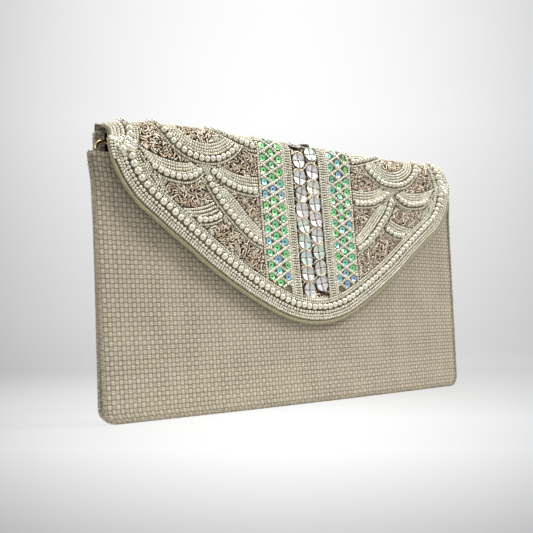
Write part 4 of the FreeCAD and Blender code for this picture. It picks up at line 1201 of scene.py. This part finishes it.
cord_heap = Heap()
for side, places in SEQUIN_T.items():
    for t in places:
        spin = RNG.uniform(-0.25, 0.25)
        place = lay_flat(side * SEQUIN_X, t, 1.15, SEQUIN_R, RNG.uniform(), 0.07, spin)
        large.append(place)
        origin, (ax, ay, az), _, _ = place
        for k in range(4):
            way = ax * math.cos(k * math.pi / 2) + ay * math.sin(k * math.pi / 2)
            reach = np.linspace(0.25, SEQUIN_R - 0.1, 6)
            line = origin + way * reach[:, None] + az * (0.05 - 0.25 * (1 - reach / SEQUIN_R))[:, None]
            points, faces, uv = tube(line, az, 0.2, 5)
            # painted shade: a fixed share of shade on the threads across each sequin
            cord_heap.add(points, faces, uv, 0.25, 0.62)
large_sequins = stamp_heap("centre_sequin_discs", *sequin_shape(1.0, 0.13), large, WHITE_SEQUIN,
                           "white_sequin", "flap")
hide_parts("centre_sequins")
sequin_threads = cord_heap.make("centre_sequin_threads", WIRE)
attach(sequin_threads, "flap")

# rose-gold loops round the sequins
loop_heap = Heap()


def wire_arc(x, t, radius, lift, tone):
    """A piece of wire laid on the flap along a short line, a little arched."""
    here, normal, _ = flap_frames(x, t)
    arch = np.sin(np.linspace(0, math.pi, len(x)))
    points, faces, uv = tube(here + normal * (lift + arch * 0.25)[:, None], normal, radius, 6)
    # painted shade: each wire darker towards its ends, where it meets the ground
    loop_heap.add(points, faces, uv, tone, np.repeat(0.75 + 0.25 * arch, 6))


for side, places in SEQUIN_T.items():
    for t in places:
        for grow in (4.95, 5.6):
            for start, end in ((200, 340), (20, 160)):
                if RNG.uniform() < 0.25:
                    continue
                a = np.radians(np.linspace(start + RNG.uniform(0, 18), end - RNG.uniform(0, 18), 12))
                x = side * SEQUIN_X + grow * np.cos(a) * 0.93
                y = t + grow * np.sin(a)
                ok = (np.abs(x) < 9.9) & (x * side > -0.9) & (y > 0.9)
                if ok.sum() > 4:
                    wire_arc(x[ok], y[ok], 0.40, 0.75 if grow < 5 else 0.5, RNG.uniform(0.4, 0.9))
for radius in (3.4, 4.9, 6.3):
    a = np.radians(np.linspace(200, 340, 14))
    wire_arc(1.5 + radius * np.cos(a) * 1.2, 99.2 - radius * np.sin(a) * 0.62, 0.45, 0.6, 0.8)
for _ in range(200):
    x0, t0 = RNG.uniform(-9.4, 9.4), RNG.uniform(1.5, 102)
    if min(math.hypot(x0 - s * SEQUIN_X, t0 - t) for s, ts in SEQUIN_T.items() for t in ts) < 4.0:
        continue
    a = RNG.uniform(0, 6.28)
    bend = RNG.uniform(-0.9, 0.9)
    q = np.linspace(-1.1, 1.1, 6)
    wire_arc(x0 + q * math.cos(a) - bend * q * q * math.sin(a),
             t0 + q * math.sin(a) + bend * q * q * math.cos(a), 0.34, 0.4, RNG.uniform())
loops = loop_heap.make("centre_bullion_wires", WIRE)
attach(loops, "flap")
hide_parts("centre_bullion_loops")
# near-black strip under the centre sequins and wires: painted shade in the gaps between them
gx, gt = np.meshgrid(np.linspace(-15.8, 15.8, 33), np.linspace(3.6, 102.6, 104))
here, normal, _ = flap_frames(gx, gt)
heap = Heap()
heap.add((here + normal * 0.1).reshape(-1, 3), grid_faces(*gx.shape))
centre_shade_strip = heap.make("centre_gap_shade_sheet", BROWN.mat)
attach(centre_shade_strip, "flap")

# divider bands: rows of beads with rungs between them
divider = []


def border_stop(x, inset=BORDER):
    """The greatest t at x that is still inside the border's inner rows."""
    t = np.linspace(30, 119, 400)
    return t[inset_of(x, t) > inset].max()


def upright(side, x, pitch, lift, size, out):
    """A straight row of beads from the crease down to the border."""
    strand([(side * x, 0.9), (side * x, border_stop(x))], pitch, lift, size, out)


for side in (-1, 1):
    for x, pitch, size in ((10.7, 1.42, 1.5), (12.15, 1.6, 1.3), (13.5, 1.6, 1.3), (14.95, 1.42, 1.5)):
        upright(side, x, pitch, 0.74, size, divider)
divider_beads = stamp_heap("divider_beads", *SEEDS, divider, SEED, "seed_bead", "flap")
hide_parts("divider_bead_rows")

small = []
LATTICE_PITCH = 6.85
LATTICE = ((30.3, 20.8), (24.7, 24.2), (19.1, 20.6))
for side in (-1, 1):
    for x, first in LATTICE:
        for t in np.arange(first - 3 * LATTICE_PITCH, border_stop(x, BORDER + 2.2), LATTICE_PITCH):
            if t > 3:
                small.append(lay_flat(side * x, t, 0.85, 1.9, RNG.beta(1.1, 1.5), 0.14, RNG.uniform(0, 3)))
small_sequins = stamp_heap("lattice_sequin_discs", *sequin_shape(0.0, 0.30), small, GREEN_SEQUIN,
                           "green_spangle", "flap")
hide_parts("lattice_sequins")
lattice = []
STOP_X = (16.4, 20, 24.4, 28, 32.6)
STOPS = [border_stop(v) for v in STOP_X]
for side in (-1, 1):
    for slope in (-1, 1):
        for k in range(-4, 18):
            t0 = 24.2 + (k + 0.5) * LATTICE_PITCH
            x = np.linspace(16.6, 32.6, 30)
            t = t0 + slope * (x - 24.7) * LATTICE_PITCH / 11.2
            stop = np.interp(x, STOP_X, STOPS)
            ok = (t > 0.9) & (t < stop)
            if ok.sum() > 5:
                strand(np.stack([side * x[ok], t[ok]], axis=1), 1.55, 0.7 + 0.16 * (slope + 1), 1.72,
                       lattice)
    for x in (33.4, 16.45):
        upright(side, x, 1.4, 0.78, 1.5, lattice)
lattice_beads = stamp_heap("lattice_bead_strings", *SEEDS, lattice, SEED, "seed_bead", "flap")
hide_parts("lattice_cords")

# ---------------------------------------------------------------- the crease
outer_path = [(6.0, 148.6), (6.55, 150.2), (6.75, 151.6), (6.2, 152.75), (5.1, 153.2), (4.3, 153.3)]
inner_path = [(3.35, 147.2), (3.6, 149.0), (3.9, 150.4), (3.9, 151.6), (3.4, 152.4), (2.4, 152.9)]
for name, path, material, slot, node, half in (
        ("crease_cloth", outer_path, LINEN, "woven_cover", None, 121.9),
        ("crease_lining_cloth", inner_path, LINING, "dark_lining", "flap_hinge_strip", 116.0)):
    curve = spline(path, 14)
    xs = np.linspace(-half, half, 200)
    grid = np.array([[(x, y, z) for x in xs] for y, z in curve])
    if name == "crease_cloth":
        grid = grid[:, ::-1]
    strip = cloth_patch(name, grid, material, THREADS, 0.35)
    if node:
        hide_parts(node)
    path[0][0] * MM
    path[0][1] * MM
    path[-1][0] * MM
    path[-1][1] * MM
    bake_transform(strip)
    2 * half * MM
    2 * half * MM * 0.0066

# ---------------------------------------------------------------- rings, tabs and the snap
METALS = {"left_d_ring": GOLD, "right_d_ring": GOLD, "snap_socket": STEEL, "snap_magnet": STEEL,
          "snap_stud": STEEL, "snap_socket_washer": STEEL, "snap_stud_washer": STEEL}
for node, metal in METALS.items():
    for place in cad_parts[node].material_slots:
        place.link = "OBJECT"
        place.material = metal

bar_y, bar_z = 0.95, 136.6
for label in ("left", "right"):
    low, high = box_mm(label + "_ring_tab")
    path = [(bar_y + 1.5, 129.4), (bar_y + 1.5, 133.6)]
    path += [(bar_y + 1.45 * math.cos(a), bar_z + 1.45 * math.sin(a))
             for a in np.linspace(-0.4, math.pi + 0.4, 14)]
    path += [(bar_y - 1.35, 134.2), (bar_y - 0.9, 132.6), (bar_y + 0.4, 131.2), (bar_y + 0.8, 129.4)]
    curve = spline(path, 48)
    centre_x = (low[0] + high[0]) / 2
    grid = np.array([[(centre_x + x, y, z) for x in np.linspace(-2.3, 2.3, 9)] for y, z in curve])
    tab = cloth_patch(label + "_tab_cloth", grid[:, ::-1], LINEN, THREADS, 0.35)
    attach(tab, "back")
    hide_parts(label + "_ring_tab")

# ---------------------------------------------------------------- studio
# pale paper, painted with the soft falloff of a light tent as it looks from the camera's place
paper = Paint("studio_paper", Roughness=0.9)


def along(axis):
    """How far a place on the paper lies from the camera along an axis of the view."""
    place = paper.node("VectorMath", {0: paper.place(), 1: axis}, "Value", operation="DOT_PRODUCT")
    return place - Vector(CAMERA_AT).dot(axis)


depth = along(ahead)
near_depth = depth.math("MAXIMUM", 0.04)
aside = abs(along(cam_right) / near_depth - 0.02).math("MINIMUM", 0.6)
upward = paper.spread(along(cam_up) / near_depth, -0.4, 0.6)
# brightness up the view: floor at the feet, pool before the purse, the far end of the floor, the wall
BRIGHTNESS = ((0.0, 0.46), (0.07, 0.55), (0.21, 0.91), (0.27, 0.92), (0.353, 0.62), (0.45, 0.74), (0.80, 1.0))
levels = paper.ramp(upward, *((place, (level,) * 3) for place, level in BRIGHTNESS))
glow = (0.985 - aside ** 1.9 * 1.25) * levels * paper.spread(depth, -0.25, 0.1, 0.42, 1.0)
paper.set(Base_Color=paper.ramp(paper.noise(3.0, 2.0), (0.0, (0.10, 0.10, 0.10)), (1.0, (0.12, 0.12, 0.12))),
          Emission_Color=(1.0, 1.0, 1.0), Emission_Strength=glow * 0.93)
profile = [(0.001, 0.0), (0.3, 0.0), (0.75, 0.0)]
profile += [(0.75 + 0.9 * math.sin(a), 0.9 - 0.9 * math.cos(a)) for a in np.linspace(0.1, math.pi / 2, 14)]
profile += [(1.65, 2.2), (1.66, 2.2)]
bowl = link("studio_bowl", smooth_mesh("studio_bowl", *lathe(profile, 96), paper.mat))
world = bpy.data.worlds.new("studio_sky")
world.use_nodes = True
sky = world.node_tree.nodes["Background"]
sky.inputs[0].default_value = (0.8, 0.8, 0.8, 1)
sky.inputs[1].default_value = 0.6
bpy.context.scene.world = world


def softbox(name, at, aim, size, power):
    data = bpy.data.lights.new(name, "AREA")
    data.shape = "RECTANGLE"
    data.size, data.size_y = size
    data.energy = power
    lamp = link(name, data)
    lamp.location = at
    lamp.rotation_mode = "QUATERNION"
    lamp.rotation_quaternion = (Vector(aim) - Vector(at)).to_track_quat("-Z", "Y")


softbox("key", (0.70, -0.60, 0.85), (0, 0, 0.08), (0.42, 0.42), 9.0)
softbox("fill", (-0.95, -0.35, 0.45), (0, 0, 0.08), (0.35, 0.6), 2.6)
softbox("top", (0.05, -0.10, 1.2), (0, 0, 0.05), (0.8, 0.6), 7.0)
